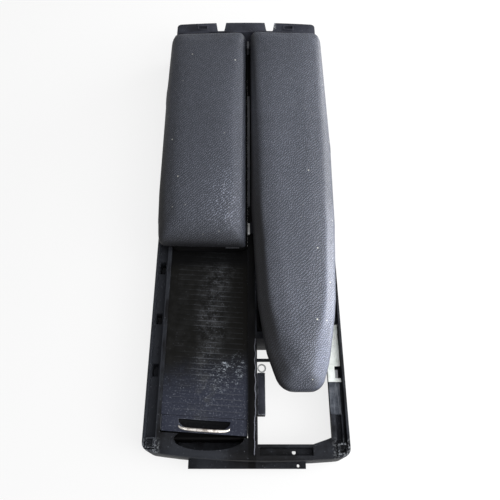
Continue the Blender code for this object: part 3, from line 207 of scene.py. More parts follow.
# %% [markdown]
# The frame is injection-moulded, in a black plastic with a fine spark-eroded grain. Handling has
# scuffed its edges pale, and dust lies on its flat places. The worn edges are painted where the
# mesh says that a face is a rounded edge, which the modelling steps below mark as "edge". Black
# plastic has little sheen, so the shader's specular level is turned well down. Every moulded piece
# shares this recipe and brings its own colours, so it is a function that makes recipes.

# %% Moulded black plastic
WIPED_BLACK = seen(4, 4, 5)
TORN_PALE = seen(205, 210, 216)


def no_mask(place):
    """A mask that is 0 everywhere."""
    return place.maths("ADD", 0.0, 0.0)


def moulded(
    dark, dusty, worn, shine=0.42, gloss=0.05,
    clean=no_mask, settled=no_mask, battered=no_mask, torn_share=0.25,
):
    """A recipe for grained plastic: its clean, dusty and scuffed colours, its roughness and gloss.

    clean, settled and battered say where the plastic is wiped black, where dust has settled, and
    where it is knocked pale. torn_share is how much of a knocked place is torn open.
    """

    def recipe(place):
        edge = marked(place, "edge")
        drift = clouds(place, 0.035, 4.0, 0.6)
        grain = clouds(place, 0.0007, 2.0)
        nicks = clouds(place, 0.006, 5.0, 0.75, shift=0.3)
        hairs = clouds(place, 0.004, 3.0, 0.8, stretch=(9.0, 0.5, 1.0), shift=0.7)
        grit = place.node("TexVoronoi", None, {"Vector": place, "Scale": 330.0}, "Distance")
        dust = step(drift + grain * 0.16 + settled(place) * 0.22, 0.42, 0.72)
        wiped = clean(place)
        knocked = battered(place)
        scuff = edge * step(nicks + knocked * 0.3, 0.38, 0.62) * (1.0 - wiped * 0.7)
        scratch = step(hairs, 0.64, 0.71) * step(drift, 0.38, 0.58)
        lint = step(grit, 0.17, 0.06) * step(nicks, 0.48, 0.6)
        flakes = clouds(place, 0.0022, 3.0, 0.7, shift=0.8)
        torn = knocked * step(flakes, 0.50, 0.56) * torn_share
        coat = mixed(dust * (1.0 - wiped), dark, dusty)
        coat = mixed(scratch * 0.45 + lint * 0.45, coat, worn)
        coat = mixed(wiped * 0.9, coat, WIPED_BLACK)
        coat = mixed(scuff * 0.7, coat, worn)
        coat = mixed(torn * 0.85, coat, TORN_PALE)
        return {
            "Base Color": coat,
            "Roughness": shine + dust * 0.16 + grain * 0.08 - scuff * 0.06,
            "Specular IOR Level": gloss,
            "Normal": bump(grain * 0.7 + nicks * 0.3, 0.35, 0.0002),
        }

    return recipe


# %% [markdown]
# Four places have a story of their own: the divider's top is wiped black, dust has settled on the
# left rail, the two front corners were knocked when the frame came out, and a clip tore the right
# notch open. They could be painted by hand on a flat picture of the part, but a mask worked out
# from places needs no such picture. It is 1 there and fades to 0 over a few millimetres.

# %% Places with a story
DIVIDER_MIDDLE_X = 0.0062
DIVIDER_REACH = 0.0052
RAIL_INNER_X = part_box("shutter_curtain")[0].x
RAIL_FOOT_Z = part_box("shutter_curtain")[1].z - 0.012
RAIL_FADE = (0.002, 0.004)
CORNER_START_X = 0.086
CORNER_START_Y = cad_box[0].y + 0.030
CORNER_FULL_Y = cad_box[0].y + 0.020
CORNER_BOTTOM_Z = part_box("right_bin")[1].z - 0.006
CORNER_FADE = (0.004, 0.006)
NOTCH_BREAK_X = 0.0385
NOTCH_BREAK_REACH = 0.0085
NOTCH_BREAK_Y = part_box("rear_bracket")[1].y - 0.012
NOTCH_FADE = 0.003
print("the rail's ledge lies left of x", round(RAIL_INNER_X / MM, 1), "mm")


def wiped_divider(place):
    """The divider's top lies between the shutter and the open bay, and is wiped clean."""
    return step(bell(axis(place, "X"), DIVIDER_MIDDLE_X, DIVIDER_REACH), 0.0, 0.35)


def dusty_rail(place):
    """The ledge of the left rail, where dust settles between the clip windows."""
    outer = step(axis(place, "X"), RAIL_INNER_X, RAIL_INNER_X - RAIL_FADE[0])
    upper = step(axis(place, "Z"), RAIL_FOOT_Z, RAIL_FOOT_Z + RAIL_FADE[1])
    return outer * upper


def knocked_corners(place):
    """The two front corners, where the frame was levered out."""
    across = axis(place, "X")
    away = across.maths("ABSOLUTE", across)
    outer = step(away, CORNER_START_X, CORNER_START_X + CORNER_FADE[0])
    upper = step(axis(place, "Z"), CORNER_BOTTOM_Z, CORNER_BOTTOM_Z + CORNER_FADE[1])
    return outer * upper * step(axis(place, "Y"), CORNER_START_Y, CORNER_FULL_Y)


def broken_notch(place):
    """The right notch's outer edge, where a clip was torn out of the bracket."""
    near = step(bell(axis(place, "X"), NOTCH_BREAK_X, NOTCH_BREAK_REACH), 0.0, 0.6)
    return near * step(axis(place, "Y"), NOTCH_BREAK_Y - NOTCH_FADE, NOTCH_BREAK_Y)


# %% [markdown]
# Now the plastics are mixed: the frame's black, the bracket's slightly greyer one, a plain dark one
# for the tubs that nobody touches, and a grey for the buttons and runners. Each has a clean, a
# dusty and a scuffed colour.

# %% Plastics
FRAME_COLOURS = (seen(16, 16, 18), seen(42, 44, 49), seen(146, 150, 160))
black_plastic = finish("black_plastic", moulded(*FRAME_COLOURS))
frame_plastic = finish(
    "frame_plastic",
    moulded(*FRAME_COLOURS, clean=wiped_divider, settled=dusty_rail, battered=knocked_corners),
)
BRACKET_COLOURS = (seen(36, 37, 43), seen(56, 58, 66), seen(150, 153, 160))
bracket_plastic = finish(
    "bracket_plastic", moulded(*BRACKET_COLOURS, 0.46, battered=broken_notch, torn_share=1.0)
)
BIN_COLOURS = (seen(8, 8, 9), seen(16, 16, 17), seen(50, 50, 54))
bin_plastic = finish("bin_plastic", moulded(*BIN_COLOURS, 0.5, 0.04))
GREY_COLOURS = (seen(72, 74, 80), seen(100, 102, 106), seen(160, 162, 166))
grey_plastic = finish("grey_plastic", moulded(*GREY_COLOURS, 0.5, 0.3))

# %% [markdown]
# The pads wear a charcoal leather with a pressed pebble grain. Up close the grain is a net of
# small cells with dark valleys between them, and it runs a little slantwise. The pad's mesh
# carries four marks for it. "hide" is each point's place on the flat hide, so that the grain wraps
# round the sides without tearing. "bevel" is where the top turns down, and a darker colour is
# painted there as shade. "shade" is where a side turns from the window, and painted shade darkens
# it. "sheen" is where a side faces the window: a pale painted sheen lightens its colour, and a thin
# coat adds real gloss. The crests carry a painted highlight, strongest in a glint spot on the short
# pad, and painted shade darkens the leather towards the left and the rear. Small pale specks are
# lint and grit caught in the valleys.

# %% Pebbled leather
LEATHER_TOP = seen(85, 89, 100)
LEATHER_BEVEL_SHADE = seen(76, 80, 91)
LEATHER_FALLOFF_SHADE = seen(30, 33, 40)
LEATHER_SHADE = seen(20, 19, 19)
LEATHER_VALLEY = seen(22, 24, 30)
LEATHER_CREST = seen(146, 151, 166)
LEATHER_SHEEN = seen(156, 166, 196)
LEATHER_GRIT = seen(204, 204, 196)
PEBBLES_PER_METRE = 600.0
PEBBLE_TURN = 0.75
PEBBLE_STRETCH = (1.0, 1.8, 1.0)
PEBBLE_WANDER = 0.0010
GLINT_PLACE = (-0.022, -0.022)
GLINT_REACH = (0.034, 0.060)
FALLOFF_SHADE_LEAN = (2.2, 0.9)
FALLOFF_SHADE_RANGE = (0.22, -0.42)


def leather(place):
    bevel = marked(place, "bevel")
    shade = marked(place, "shade")
    sheen = marked(place, "sheen")
    across = axis(place, "X")
    along = axis(place, "Y")
    hide = marked(place, "hide", "Vector")
    turn = {"Vector": hide, "Rotation": (0.0, 0.0, PEBBLE_TURN), "Scale": PEBBLE_STRETCH}
    slant = place.node("Mapping", {"vector_type": "TEXTURE"}, turn)
    wander = place.node("TexNoise", None, {"Vector": slant, "Scale": 180.0, "Detail": 2.0}, "Color")
    push = {"Vector": wander, "Scale": PEBBLE_WANDER}
    pushed = place.node("VectorMath", {"operation": "SCALE"}, push)
    bent = place.node("VectorMath", {"operation": "ADD"}, {0: slant, 1: pushed})
    cells = {"Vector": bent, "Scale": PEBBLES_PER_METRE, "Randomness": 0.7}
    flat = {"voronoi_dimensions": "2D"}
    pebble = place.node("TexVoronoi", {**flat, "feature": "DISTANCE_TO_EDGE"}, cells, "Distance")
    tone = place.node("TexVoronoi", flat, cells, "Color")
    tone = tone.node("SeparateColor", None, {"Color": tone}, "Red")
    pore = clouds(place, 0.0008, 2.0)
    crest = step(pebble, 0.05, 0.30)
    wear = clouds(place, 0.11, 3.0, 0.5)
    blotch = clouds(place, 0.010, 3.0, 0.6, shift=0.2)
    grit = place.node("TexVoronoi", None, {"Vector": place, "Scale": 62.0}, "Distance")
    speck = step(grit, 0.075, 0.04) * step(clouds(place, 0.03, 2.0, shift=0.9), 0.44, 0.56)
    fold = clouds(place, 0.05, 2.0, 0.4, stretch=(0.35, 1.3, 1.0), shift=0.5)
    # Painted highlight: a glint spot, mostly on the short pad's right half.
    glint = bell(across, GLINT_PLACE[0], GLINT_REACH[0]) * bell(along, GLINT_PLACE[1], GLINT_REACH[1])
    # Painted shade: the leather grows darker towards the left and the rear.
    falloff_shade = step(across * FALLOFF_SHADE_LEAN[0] - along * FALLOFF_SHADE_LEAN[1], *FALLOFF_SHADE_RANGE)

    # Painted shade: the bevels are given a darker colour than the top.
    ground = mixed(bevel, LEATHER_TOP, LEATHER_BEVEL_SHADE)
    ground = mixed(step(wear, 0.4, 0.7) * 0.14, ground, LEATHER_CREST)
    # Painted shade towards the left and the rear.
    ground = mixed(falloff_shade * 0.62, ground, LEATHER_FALLOFF_SHADE)
    # Painted sheen: where a side faces the window its colour is made paler; the coat below adds gloss.
    ground = mixed(sheen * 0.4, ground, LEATHER_SHEEN)
    ground = mixed(crest, mixed(0.12 * step(blotch, 0.2, 0.8) + 0.78, ground, LEATHER_VALLEY), ground)
    # Painted highlight on the crests, strongest in the glint spot and weaker in the painted shade.
    lit = crest * (tone * 0.7 + 0.2) * (0.28 - falloff_shade * 0.14 + glint * 0.1)
    lit = lit + crest * step(tone, 0.6, 0.95) * glint * 0.45
    ground = mixed(lit, ground, LEATHER_CREST)
    ground = mixed(shade * 0.9, ground, LEATHER_SHADE)
    ground = mixed(speck * 0.8 * (1.0 - shade), ground, LEATHER_GRIT)
    height = crest * 0.75 + pore * 0.12 + tone * 0.12
    return {
        "Base Color": ground,
        "Roughness": 0.5 - crest * 0.08 + blotch * 0.08 - bevel * 0.06 - glint * 0.08 + shade * 0.2,
        "Coat Weight": sheen * 0.36,
        "Coat Roughness": 0.34,
        "Specular IOR Level": 0.24,
        "Normal": bump(height, 0.6, 0.0006, bump(fold, 0.05, 0.004)),
    }


pad_leather = finish("pad_leather", leather)

# %% [markdown]
# The shutter is a ribbed sheet of satin plastic, and shows where hands and cups have rubbed it: a
# pale dusty band down the middle, and a cluster of bright scuffs near the right of the front third.
# Over that third lies a bluish painted reflection, which also strengthens the specks and rubs there.
# Painted shade darkens the right side, a painted shadow lies under the short lid, and the pull's
# pocket is painted nearly black as shade. Positions are in metres.

# %% Rubbed shutter plastic
bay_low, bay_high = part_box("shutter_curtain")
bar_rear_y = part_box("shutter_bar")[1].y
lid_front_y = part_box("left_lid_pad")[0].y
PULL_MIDDLE_X = sum(corner.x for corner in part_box("shutter_handle")) / 2
BAY_MIDDLE_X = (bay_low.x + bay_high.x) / 2
REFLECTION_START = bar_rear_y + 0.074
REFLECTION_FULL = bar_rear_y + 0.020
BAND_OFFSET = 0.004
BAND_REACH = 0.024
SCUFF_CENTRE = (BAY_MIDDLE_X + 0.024, bar_rear_y + 0.047)
SCUFF_REACH = 0.026
SHADE_REACH = (BAY_MIDDLE_X + 0.018, BAY_MIDDLE_X + 0.044)
UNDER_LID = (lid_front_y - 0.020, lid_front_y - 0.008)
POCKET_DEPTHS = (0.0009, 0.0020)
SATIN_DARK = seen(17, 17, 16)
SATIN_DUSTY = seen(28, 28, 28)
SATIN_SHADE = seen(10, 9, 7)
SATIN_REFLECTION = seen(49, 52, 64)
SATIN_BAND = seen(66, 67, 69)
SATIN_SMUDGE = seen(104, 106, 110)
SATIN_SPECK = seen(136, 140, 150)
SATIN_SPRINKLE = seen(128, 133, 146)
SATIN_RUBBED = seen(104, 107, 114)
SATIN_SCUFF = seen(176, 184, 194)
SATIN_LID_SHADOW = seen(6, 6, 7)
SATIN_POCKET_SHADE = seen(3, 3, 3)


def shutter_satin(place):
    edge = marked(place, "edge")
    across = axis(place, "X")
    along = axis(place, "Y")
    height = axis(place, "Z")
    wander = clouds(place, 0.05, 3.0, 0.6)
    dust = clouds(place, 0.009, 5.0, 0.7)
    fine = clouds(place, 0.0011, 2.0)
    marks = clouds(place, 0.0028, 5.0, 0.8, stretch=(0.7, 1.2, 1.0), shift=0.4)
    bent = across + (wander - 0.5) * 0.05 + (along + 0.16) * -0.09
    band = bell(bent, BAY_MIDDLE_X + BAND_OFFSET, BAND_REACH)
    # Painted reflection: the mask named bloom is a bluish sheen over the front third; the specks,
    # sprinkles and rubs below are made stronger under it.
    bloom = step(along + (dust - 0.5) * 0.03 - across * 0.15, REFLECTION_START, REFLECTION_FULL)
    near_x = bell(across, SCUFF_CENTRE[0], SCUFF_REACH)
    near_y = bell(along + across * -0.25, SCUFF_CENTRE[1], SCUFF_REACH)
    scuff = step(near_x * near_y, 0.0, 0.5) * step(marks, 0.545, 0.64)
    sprinkle = step(clouds(place, 0.0018, 2.0, 0.6, shift=0.15), 0.56, 0.7)
    smudge = band * step(marks, 0.56, 0.7)
    grit = place.node("TexVoronoi", None, {"Vector": place, "Scale": 300.0}, "Distance")
    speck = step(grit, 0.2, 0.08) * step(dust, 0.46, 0.58)
    shade = step(across, *SHADE_REACH) * (1.0 - bloom)
    # Painted shadow: the strip of shutter just in front of the short lid.
    lid_shadow = step(along, *UNDER_LID)
    # Painted shade: faces sunk below the shutter's top, in the pull's pocket, are made nearly black.
    pocket_shade = step(height, bay_high.z - POCKET_DEPTHS[0], bay_high.z - POCKET_DEPTHS[1])

    coat = mixed(step(dust, 0.35, 0.75), SATIN_DARK, SATIN_DUSTY)
    coat = mixed(shade * 0.8, coat, SATIN_SHADE)
    # Painted reflection: bluish over the front third.
    coat = mixed(bloom * 0.9, coat, SATIN_REFLECTION)
    coat = mixed(band * step(dust, 0.4, 0.66) * 0.5, coat, SATIN_BAND)
    coat = mixed(smudge * 0.5, coat, SATIN_SMUDGE)
    coat = mixed(speck * (0.12 + bloom * 0.6 + band * 0.35), coat, SATIN_SPECK)
    coat = mixed(sprinkle * (bloom * 0.32 + band * 0.2), coat, SATIN_SPRINKLE)
    rubbed = edge * step(wander + dust * 0.5, 0.56, 0.86) * (0.08 + band * 0.34 + bloom * 0.16)
    coat = mixed(rubbed, coat, SATIN_RUBBED)
    coat = mixed(scuff * 0.85, coat, SATIN_SCUFF)
    # Painted shadow under the short lid.
    coat = mixed(lid_shadow * 0.9, coat, SATIN_LID_SHADOW)
    # Painted shade in the pull's pocket.
    coat = mixed(pocket_shade * 0.95, coat, SATIN_POCKET_SHADE)
    return {
        "Base Color": coat,
        "Roughness": 0.42 + dust * 0.14 + scuff * 0.2,
        "Specular IOR Level": 0.05,
        "Normal": bump(fine * 0.6 + marks * 0.4, 0.2, 0.0002),
    }


shutter_plastic = finish("shutter_plastic", shutter_satin)

# %% [markdown]
# Two metals. The pull has bright plating, still clean at its tips and dulled in its middle, where
# fingers go. The hinges and screws are zinc plated, with a faint spangle. A metal's colour is the
# colour of its reflections, so both are greys with the shader's metallic value at one.

# %% Chrome and zinc
PULL_TIPS = (0.012, 0.024)


def chrome_plate(place):
    across = axis(place, "X")
    away = across - PULL_MIDDLE_X
    tips = step(away.maths("ABSOLUTE", away), *PULL_TIPS)
    smear = clouds(place, 0.006, 4.0, 0.6)
    pits = clouds(place, 0.0012, 3.0, 0.7, shift=0.4)
    rubbed = mixed(step(smear, 0.35, 0.7), seen(176, 172, 168), seen(98, 90, 84))
    tint = mixed(tips * 0.8, rubbed, seen(206, 202, 196))
    rough = 0.2 + step(smear, 0.4, 0.8) * 0.2 - tips * 0.08
    normal = bump(pits, 0.2, 0.0001)
    return {"Base Color": tint, "Metallic": 1.0, "Roughness": rough, "Normal": normal}


def zinc_plate(place):
    spangle = place.node("TexVoronoi", None, {"Vector": place, "Scale": 700.0}, "Distance")
    haze = clouds(place, 0.005, 4.0, 0.65)
    tint = mixed(step(haze, 0.3, 0.75), seen(176, 178, 180), seen(118, 117, 114))
    rough = 0.28 + haze * 0.25
    normal = bump(spangle, 0.15, 0.0001)
    return {"Base Color": tint, "Metallic": 1.0, "Roughness": rough, "Normal": normal}


chrome = finish("chrome", chrome_plate)
hinge_steel = finish("hinge_steel", zinc_plate)

# %% [markdown]
# Three soft, dull finishes: flocked felt in the lids and on the rail, matte rubber for mats and
# bumpers, and the pale closed-cell foam stuck on the right rail. Each still varies over its
# surface, because nothing on a used car part is one even colour.

# %% Felt, rubber and foam
def flock(place):
    fibre = clouds(place, 0.0006, 3.0, 0.8)
    lint = clouds(place, 0.012, 4.0, 0.7)
    streak = clouds(place, 0.006, 4.0, 0.6, stretch=(2.4, 0.3, 1.0), shift=0.8)
    coat = mixed(step(lint, 0.4, 0.75), seen(66, 70, 78), seen(104, 108, 116))
    coat = mixed(step(streak, 0.45, 0.7) * 0.6, coat, seen(126, 130, 138))
    coat = mixed(step(fibre, 0.5, 0.75) * 0.4, coat, seen(120, 124, 132))
    normal = bump(fibre, 0.7, 0.0005)
    return {"Base Color": coat, "Roughness": 0.93, "Specular IOR Level": 0.1, "Normal": normal}


def matte_rubber(place):
    bloom = clouds(place, 0.02, 4.0, 0.6)
    grain = clouds(place, 0.001, 2.0)
    coat = mixed(step(bloom, 0.35, 0.75), seen(14, 14, 15), seen(24, 24, 25))
    rough = 0.78 + bloom * 0.12
    normal = bump(grain, 0.35, 0.0003)
    return {"Base Color": coat, "Roughness": rough, "Specular IOR Level": 0.1, "Normal": normal}


def foam(place):
    cells = place.node("TexVoronoi", None, {"Vector": place, "Scale": 1300.0}, "Distance")
    stain = clouds(place, 0.008, 4.0, 0.65)
    coat = mixed(step(stain, 0.42, 0.8), seen(250, 255, 253), seen(222, 232, 224))
    spots = step(clouds(place, 0.003, 3.0, 0.7, shift=0.6), 0.6, 0.68)
    coat = mixed(spots * 0.6, coat, seen(140, 148, 138))
    return {"Base Color": coat, "Roughness": 0.86, "Normal": bump(cells + stain, 0.4, 0.0003)}


liner_felt = finish("liner_felt", flock)
mat_rubber = finish("mat_rubber", matte_rubber)
label_foam = finish("label_foam", foam)

# %% [markdown]
# Every piece first gets its finish, also the few that are modelled again further down. The list
# says which pieces each finish is for, and the hinges' pieces are added by their names.

# %% Hand out the finishes
WORN_BY = {
    frame_plastic: ["console_frame"],
    black_plastic: ["left_lid_base", "right_lid_base"],
    bracket_plastic: ["rear_bracket", "side_box"],
    bin_plastic: ["cup_bin", "cup_plate", "right_bin", "left_tray"],
    grey_plastic: [
        "left_latch_button", "right_latch_button", "centre_rest", "spine_strip",
        "shutter_left_shoe", "shutter_right_shoe",
    ],
    liner_felt: ["left_lid_liner", "right_lid_liner", "felt_pad"],
    mat_rubber: [
        "cup_bin_mat", "right_bin_mat", "left_tray_mat", "left_front_bumper", "left_rear_bumper",
        "right_front_bumper", "right_rear_bumper",
    ],
    hinge_steel: ["latch_striker", "side_ring", "bracket_screw_1", "bracket_screw_2", "bracket_screw_3"],
    label_foam: ["label_pad"],
    pad_leather: ["left_lid_pad", "right_lid_pad"],
    shutter_plastic: ["shutter_curtain", "shutter_bar"],
    chrome: ["shutter_handle"],
}
for node in nodes:
    if "_hinge_" in node:
        WORN_BY[hinge_steel].append(node)

for worn, names in WORN_BY.items():
    for name in names:
        nodes[name].data.materials.clear()
        nodes[name].data.materials.append(worn)
print("finished", sum(len(names) for names in WORN_BY.values()), "of", len(nodes), "pieces")

# %% [markdown]
# Modelling by hand goes through the same few moves: leave one piece selected, pick some of its
# faces by their place or by how they face, and act on them. These helpers hold those moves. A
# piece is done when its place is in its mesh, it has its finish, and it rides on what carries it.

# %% Modelling moves
WELD_REACH = 0.00001
FLAT_ANGLE = math.radians(0.6)
SMOOTH_DEGREES = 35.0
SHARP_DEGREES = 38.0


def only(piece):
    """Leaves one piece selected and active."""
    bpy.ops.object.select_all(action="DESELECT")
    piece.select_set(True)
    bpy.context.view_layer.objects.active = piece


def edit_mode():
    bpy.ops.object.mode_set(mode="EDIT")


def object_mode():
    bpy.ops.object.mode_set(mode="OBJECT")


def pick_faces(test):
    """In edit mode, selects the faces that pass a test, and says how many they are."""
    bpy.ops.mesh.select_mode(type="FACE")
    bpy.ops.mesh.select_all(action="DESELECT")
    mesh = bpy.context.object.data
    shape = bmesh.from_edit_mesh(mesh)
    chosen = [face for face in shape.faces if test(face)]
    for face in chosen:
        face.select = True
    shape.select_flush_mode()
    bmesh.update_edit_mesh(mesh)
    return len(chosen)


def apply(piece, kind, **settings):
    """Adds a modifier, gives it its settings and applies it."""
    only(piece)
    modifier = piece.modifiers.new(kind.lower(), kind)
    for name, value in settings.items():
        setattr(modifier, name, value)
    bpy.ops.object.modifier_apply(modifier=modifier.name)
    return piece


def soften(piece, width):
    """Rounds a small piece's sharp edges."""
    turn = math.radians(SHARP_DEGREES)
    return apply(piece, "BEVEL", width=width, segments=2, limit_method="ANGLE", angle_limit=turn)


def settle(piece, name, worn, body, smooth=SMOOTH_DEGREES):
    """Puts the place into the mesh, then gives the piece its name, finish, slot and carrier."""
    only(piece)
    bpy.ops.object.transform_apply(location=True, rotation=True, scale=True)
    piece.name = name
    piece.data.name = name
    piece.data.materials.clear()
    piece.data.materials.append(worn)
    bpy.ops.object.shade_smooth_by_angle(angle=math.radians(smooth))
    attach(piece, body)
    piece.data.calc_loop_triangles()
    print(name, "has", len(piece.data.loop_triangles), "triangles and rides on", body)


def copy_of(node, name):
    """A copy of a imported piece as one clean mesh: its triangles joined, its flat faces whole."""
    made = bpy.data.objects.new(name, nodes[node].data.copy())
    bpy.context.scene.collection.objects.link(made)
    only(made)
    edit_mode()
    bpy.ops.mesh.select_all(action="SELECT")
    bpy.ops.mesh.remove_doubles(threshold=WELD_REACH)
    bpy.ops.mesh.dissolve_limited(angle_limit=FLAT_ANGLE)
    object_mode()
    return made


# %% [markdown]
# A moulding has no razor edges: the mould's corners are rounded by half a millimetre, and that
# line of light along each edge is what makes plastic read as plastic. A shader could fake the
# line, but the outline would stay sharp, so a Bevel modifier rounds the clean copy. It gives the
# new faces their own material number, which becomes the "edge" mark that the scuffs are painted on.

# %% Rounded and worn edges
EDGE_TURN = math.radians(SHARP_DEGREES)
EDGE_SEGMENTS = 2


def round_edges(piece, width):
    """Rounds the sharp edges and marks the rounded faces as edge."""
    piece.data.materials.clear()
    piece.data.materials.append(black_plastic)
    piece.data.materials.append(black_plastic)
    apply(
        piece, "BEVEL", width=width, segments=EDGE_SEGMENTS, limit_method="ANGLE",
        angle_limit=EDGE_TURN, material=1, use_clamp_overlap=True, miter_outer="MITER_SHARP",
    )
    mark = piece.data.attributes.new("edge", "FLOAT", "FACE")
    for face in piece.data.polygons:
        mark.data[face.index].value = float(face.material_index == 1)
        face.material_index = 0
    return piece


# %% [markdown]
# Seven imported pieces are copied, rounded and put in place of their plain solids. The small ones
# have tighter corners than the frame. The chrome pull gets one thing more: its bow is pressed
# flatter towards the front, by moving each point by how far it lies from the bow's middle.

# %% Mouldings with round edges
PULL_FLATTEN = 0.55
PULL_FORWARD = 0.0026
PULL_BOW_POWER = 4
pull_low, pull_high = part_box("shutter_handle")


def flatten_pull(piece):
    """Years of pulling have pressed the chrome bow flatter and a little to the front."""
    half = (pull_high.x - pull_low.x) / 2
    bow = pull_high.y - pull_low.y
    for vert in piece.data.vertices:
        share = min(abs(vert.co.x - PULL_MIDDLE_X) / half, 1.0)
        behind = bow * (1.0 - math.sqrt(1.0 - share ** PULL_BOW_POWER))
        vert.co.y -= PULL_FORWARD + behind * (1.0 - PULL_FLATTEN)


# Each piece's new name, finish, slot, body and edge radius in millimetres.
REPLACED_MOULDINGS = {
    "console_frame": ("frame_moulding", frame_plastic, "black_plastic", "frame", 0.5),
    "rear_bracket": ("bracket_moulding", bracket_plastic, "bracket_plastic", "frame", 0.4),
    "side_box": ("side_plate", bracket_plastic, "black_plastic", "frame", 0.6),
    "shutter_bar": ("shutter_end_bar", shutter_plastic, "shutter_plastic", "shutter", 0.4),
    "shutter_handle": ("chrome_pull", chrome, "chrome", "shutter", 1.0),
    "felt_pad": ("felt_strip", liner_felt, "liner_felt", "frame", 0.5),
    "label_pad": ("foam_strip", label_foam, "label_foam", "frame", 0.4),
}
for node, (name, worn, slot, body, width) in REPLACED_MOULDINGS.items():
    piece = round_edges(copy_of(node, name), width * MM)
    if node == "shutter_handle":
        flatten_pull(piece)
    settle(piece, name, worn, body)
    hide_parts(node)

# %% [markdown]
# The pads are foam under stretched leather. Their true outline is the part's own, but its long flat
# triangles can't bend. So a copy of each pad is remeshed into small even squares, drawn back onto
# the crisp form, and smoothed above its foot, the short pad much more than the long one.

# %% Pads in even squares
PAD_CELL = 0.003
PAD_EDGE = 0.007


def remeshed(node, name, rounds):
    """A copy of the pad in even squares that lie on the pad's own faces, smoothed in rounds."""
    made = copy_of(node, name)
    crisp = copy_of(node, name + "_crisp")
    made.data.remesh_voxel_size = PAD_CELL
    only(made)
    bpy.ops.object.voxel_remesh()
    apply(made, "SHRINKWRAP", target=crisp, wrap_method="NEAREST_SURFACEPOINT")
    bpy.data.objects.remove(crisp)
    foot = min(vert.co.z for vert in made.data.vertices) + PAD_EDGE
    soft = made.vertex_groups.new(name="soft")
    soft.add([vert.index for vert in made.data.vertices if vert.co.z > foot], 1.0, "ADD")
    apply(made, "SMOOTH", factor=0.5, iterations=rounds, vertex_group="soft")
    print(name, "has", len(made.data.polygons), "squares")
    return made


# %% [markdown]
# A wrapped pad is crowned, because the foam presses the leather out. The Cloth modifier does the
# same with its pressure, over a few frames. The foot stays pinned, because there the leather is
# stapled round the lid. Cloth also leaves small wrinkles, so only how far each point has risen is
# kept, blurred over its neighbours and capped.

# %% Swell a pad
PAD_SHRINK = 0.0002
PAD_FOOT = 0.002
PAD_FRAMES = 20
PAD_PRESSURE = 4.0
PAD_STRETCH = 25.0
PAD_BEND = 4.0
PAD_SWELL_CAP = 0.0012
PAD_SETTLE = 5
EVEN_ROUNDS = 20
MARK_ROUNDS = 5
scene = bpy.context.scene


def spread(piece, values, rounds=MARK_ROUNDS):
    """Blurs a value over the points by taking the mean along the edges, a few rounds."""
    for _ in range(rounds):
        total = list(values)
        count = [1] * len(values)
        for first, second in piece.data.edge_keys:
            total[first] += values[second]
            total[second] += values[first]
            count[first] += 1
            count[second] += 1
        values = [share / number for share, number in zip(total, count)]
    return values


def swell(piece):
    """Blows the leather out as cloth, its foot pinned, then evens and caps how far it has risen."""
    foot = min(vert.co.z for vert in piece.data.vertices) + PAD_FOOT
    pinned = piece.vertex_groups.new(name="foot")
    pinned.add([vert.index for vert in piece.data.vertices if vert.co.z < foot], 1.0, "ADD")
    ways = [vert.normal.copy() for vert in piece.data.vertices]
    start = [vert.co - vert.normal * PAD_SHRINK for vert in piece.data.vertices]
    for vert, place in zip(piece.data.vertices, start):
        vert.co = place
    only(piece)
    cloth = piece.modifiers.new("swell", "CLOTH")
    cloth.settings.use_pressure = True
    cloth.settings.uniform_pressure_force = PAD_PRESSURE
    cloth.settings.effector_weights.gravity = 0.0
    cloth.settings.vertex_group_mass = "foot"
    cloth.settings.tension_stiffness = PAD_STRETCH
    cloth.settings.bending_stiffness = PAD_BEND
    cloth.collision_settings.use_self_collision = False
    cloth.point_cache.frame_start = 1
    cloth.point_cache.frame_end = PAD_FRAMES
    for step_number in range(1, PAD_FRAMES + 1):
        scene.frame_set(step_number)
    bpy.ops.object.modifier_apply(modifier="swell")
    scene.frame_set(1)
    points = piece.data.vertices
    risen = [(vert.co - place).dot(way) for vert, place, way in zip(points, start, ways)]
    print(piece.name, "swelled by up to", round(max(risen) / MM, 2), "mm before it is smoothed")
    for vert, place, way, rise in zip(points, start, ways, spread(piece, risen, EVEN_ROUNDS)):
        vert.co = place + way * min(max(rise, 0.0), PAD_SWELL_CAP)
    apply(piece, "SMOOTH", factor=0.5, iterations=PAD_SETTLE, vertex_group="soft")


# %% [markdown]
# The leather's recipe reads four marks from the mesh. The hide mark lays the sides out level with
# the top, as the flat hide was before it was wrapped. The other three come from the way that each
# point faces, since a bevel is simply where the surface has begun to turn, and they are blurred
# over a few neighbours so that no edge of a square shows.

# %% Marks for the leather
FOLD_ROUNDS = 8
FOLD_GAIN = 2.0
BEVEL_TURN = (0.985, 0.20)
SHADE_GAIN = 1.9
SHADE_AT_REAR = 0.35
SHADE_UNDERSIDE = 0.3
SHADE_REAR_Y = 0.12
SHADE_RANGE_Y = 0.20
SHEEN_LEAN = (0.2, 0.25)
SHEEN_LIFT = (0.2, 0.2)
SHEEN_REAR_Y = -0.005
SHEEN_RANGE_Y = 0.15


def clamped(value):
    """The value, held between 0 and 1."""
    return min(max(value, 0.0), 1.0)


def lay_hide(piece):
    """Gives each point its place on the flat hide: the sides are folded out level with the top."""
    points = piece.data.vertices
    top = max(vert.co.z for vert in points)
    lean_x = [clamped(abs(vert.normal.x) * FOLD_GAIN) for vert in points]
    lean_y = [clamped(abs(vert.normal.y) * FOLD_GAIN) for vert in points]
    leans = [spread(piece, lean, FOLD_ROUNDS) for lean in (lean_x, lean_y)]
    places = []
    for vert, lean_x, lean_y in zip(points, *leans):
        down = top - vert.co.z
        places.append(vert.co.x + math.copysign(lean_x * down, vert.normal.x))
        places.append(vert.co.y + math.copysign(lean_y * down, vert.normal.y))
        places.append(0.0)
    mark = piece.data.attributes.new("hide", "FLOAT_VECTOR", "POINT")
    mark.data.foreach_set("vector", places)


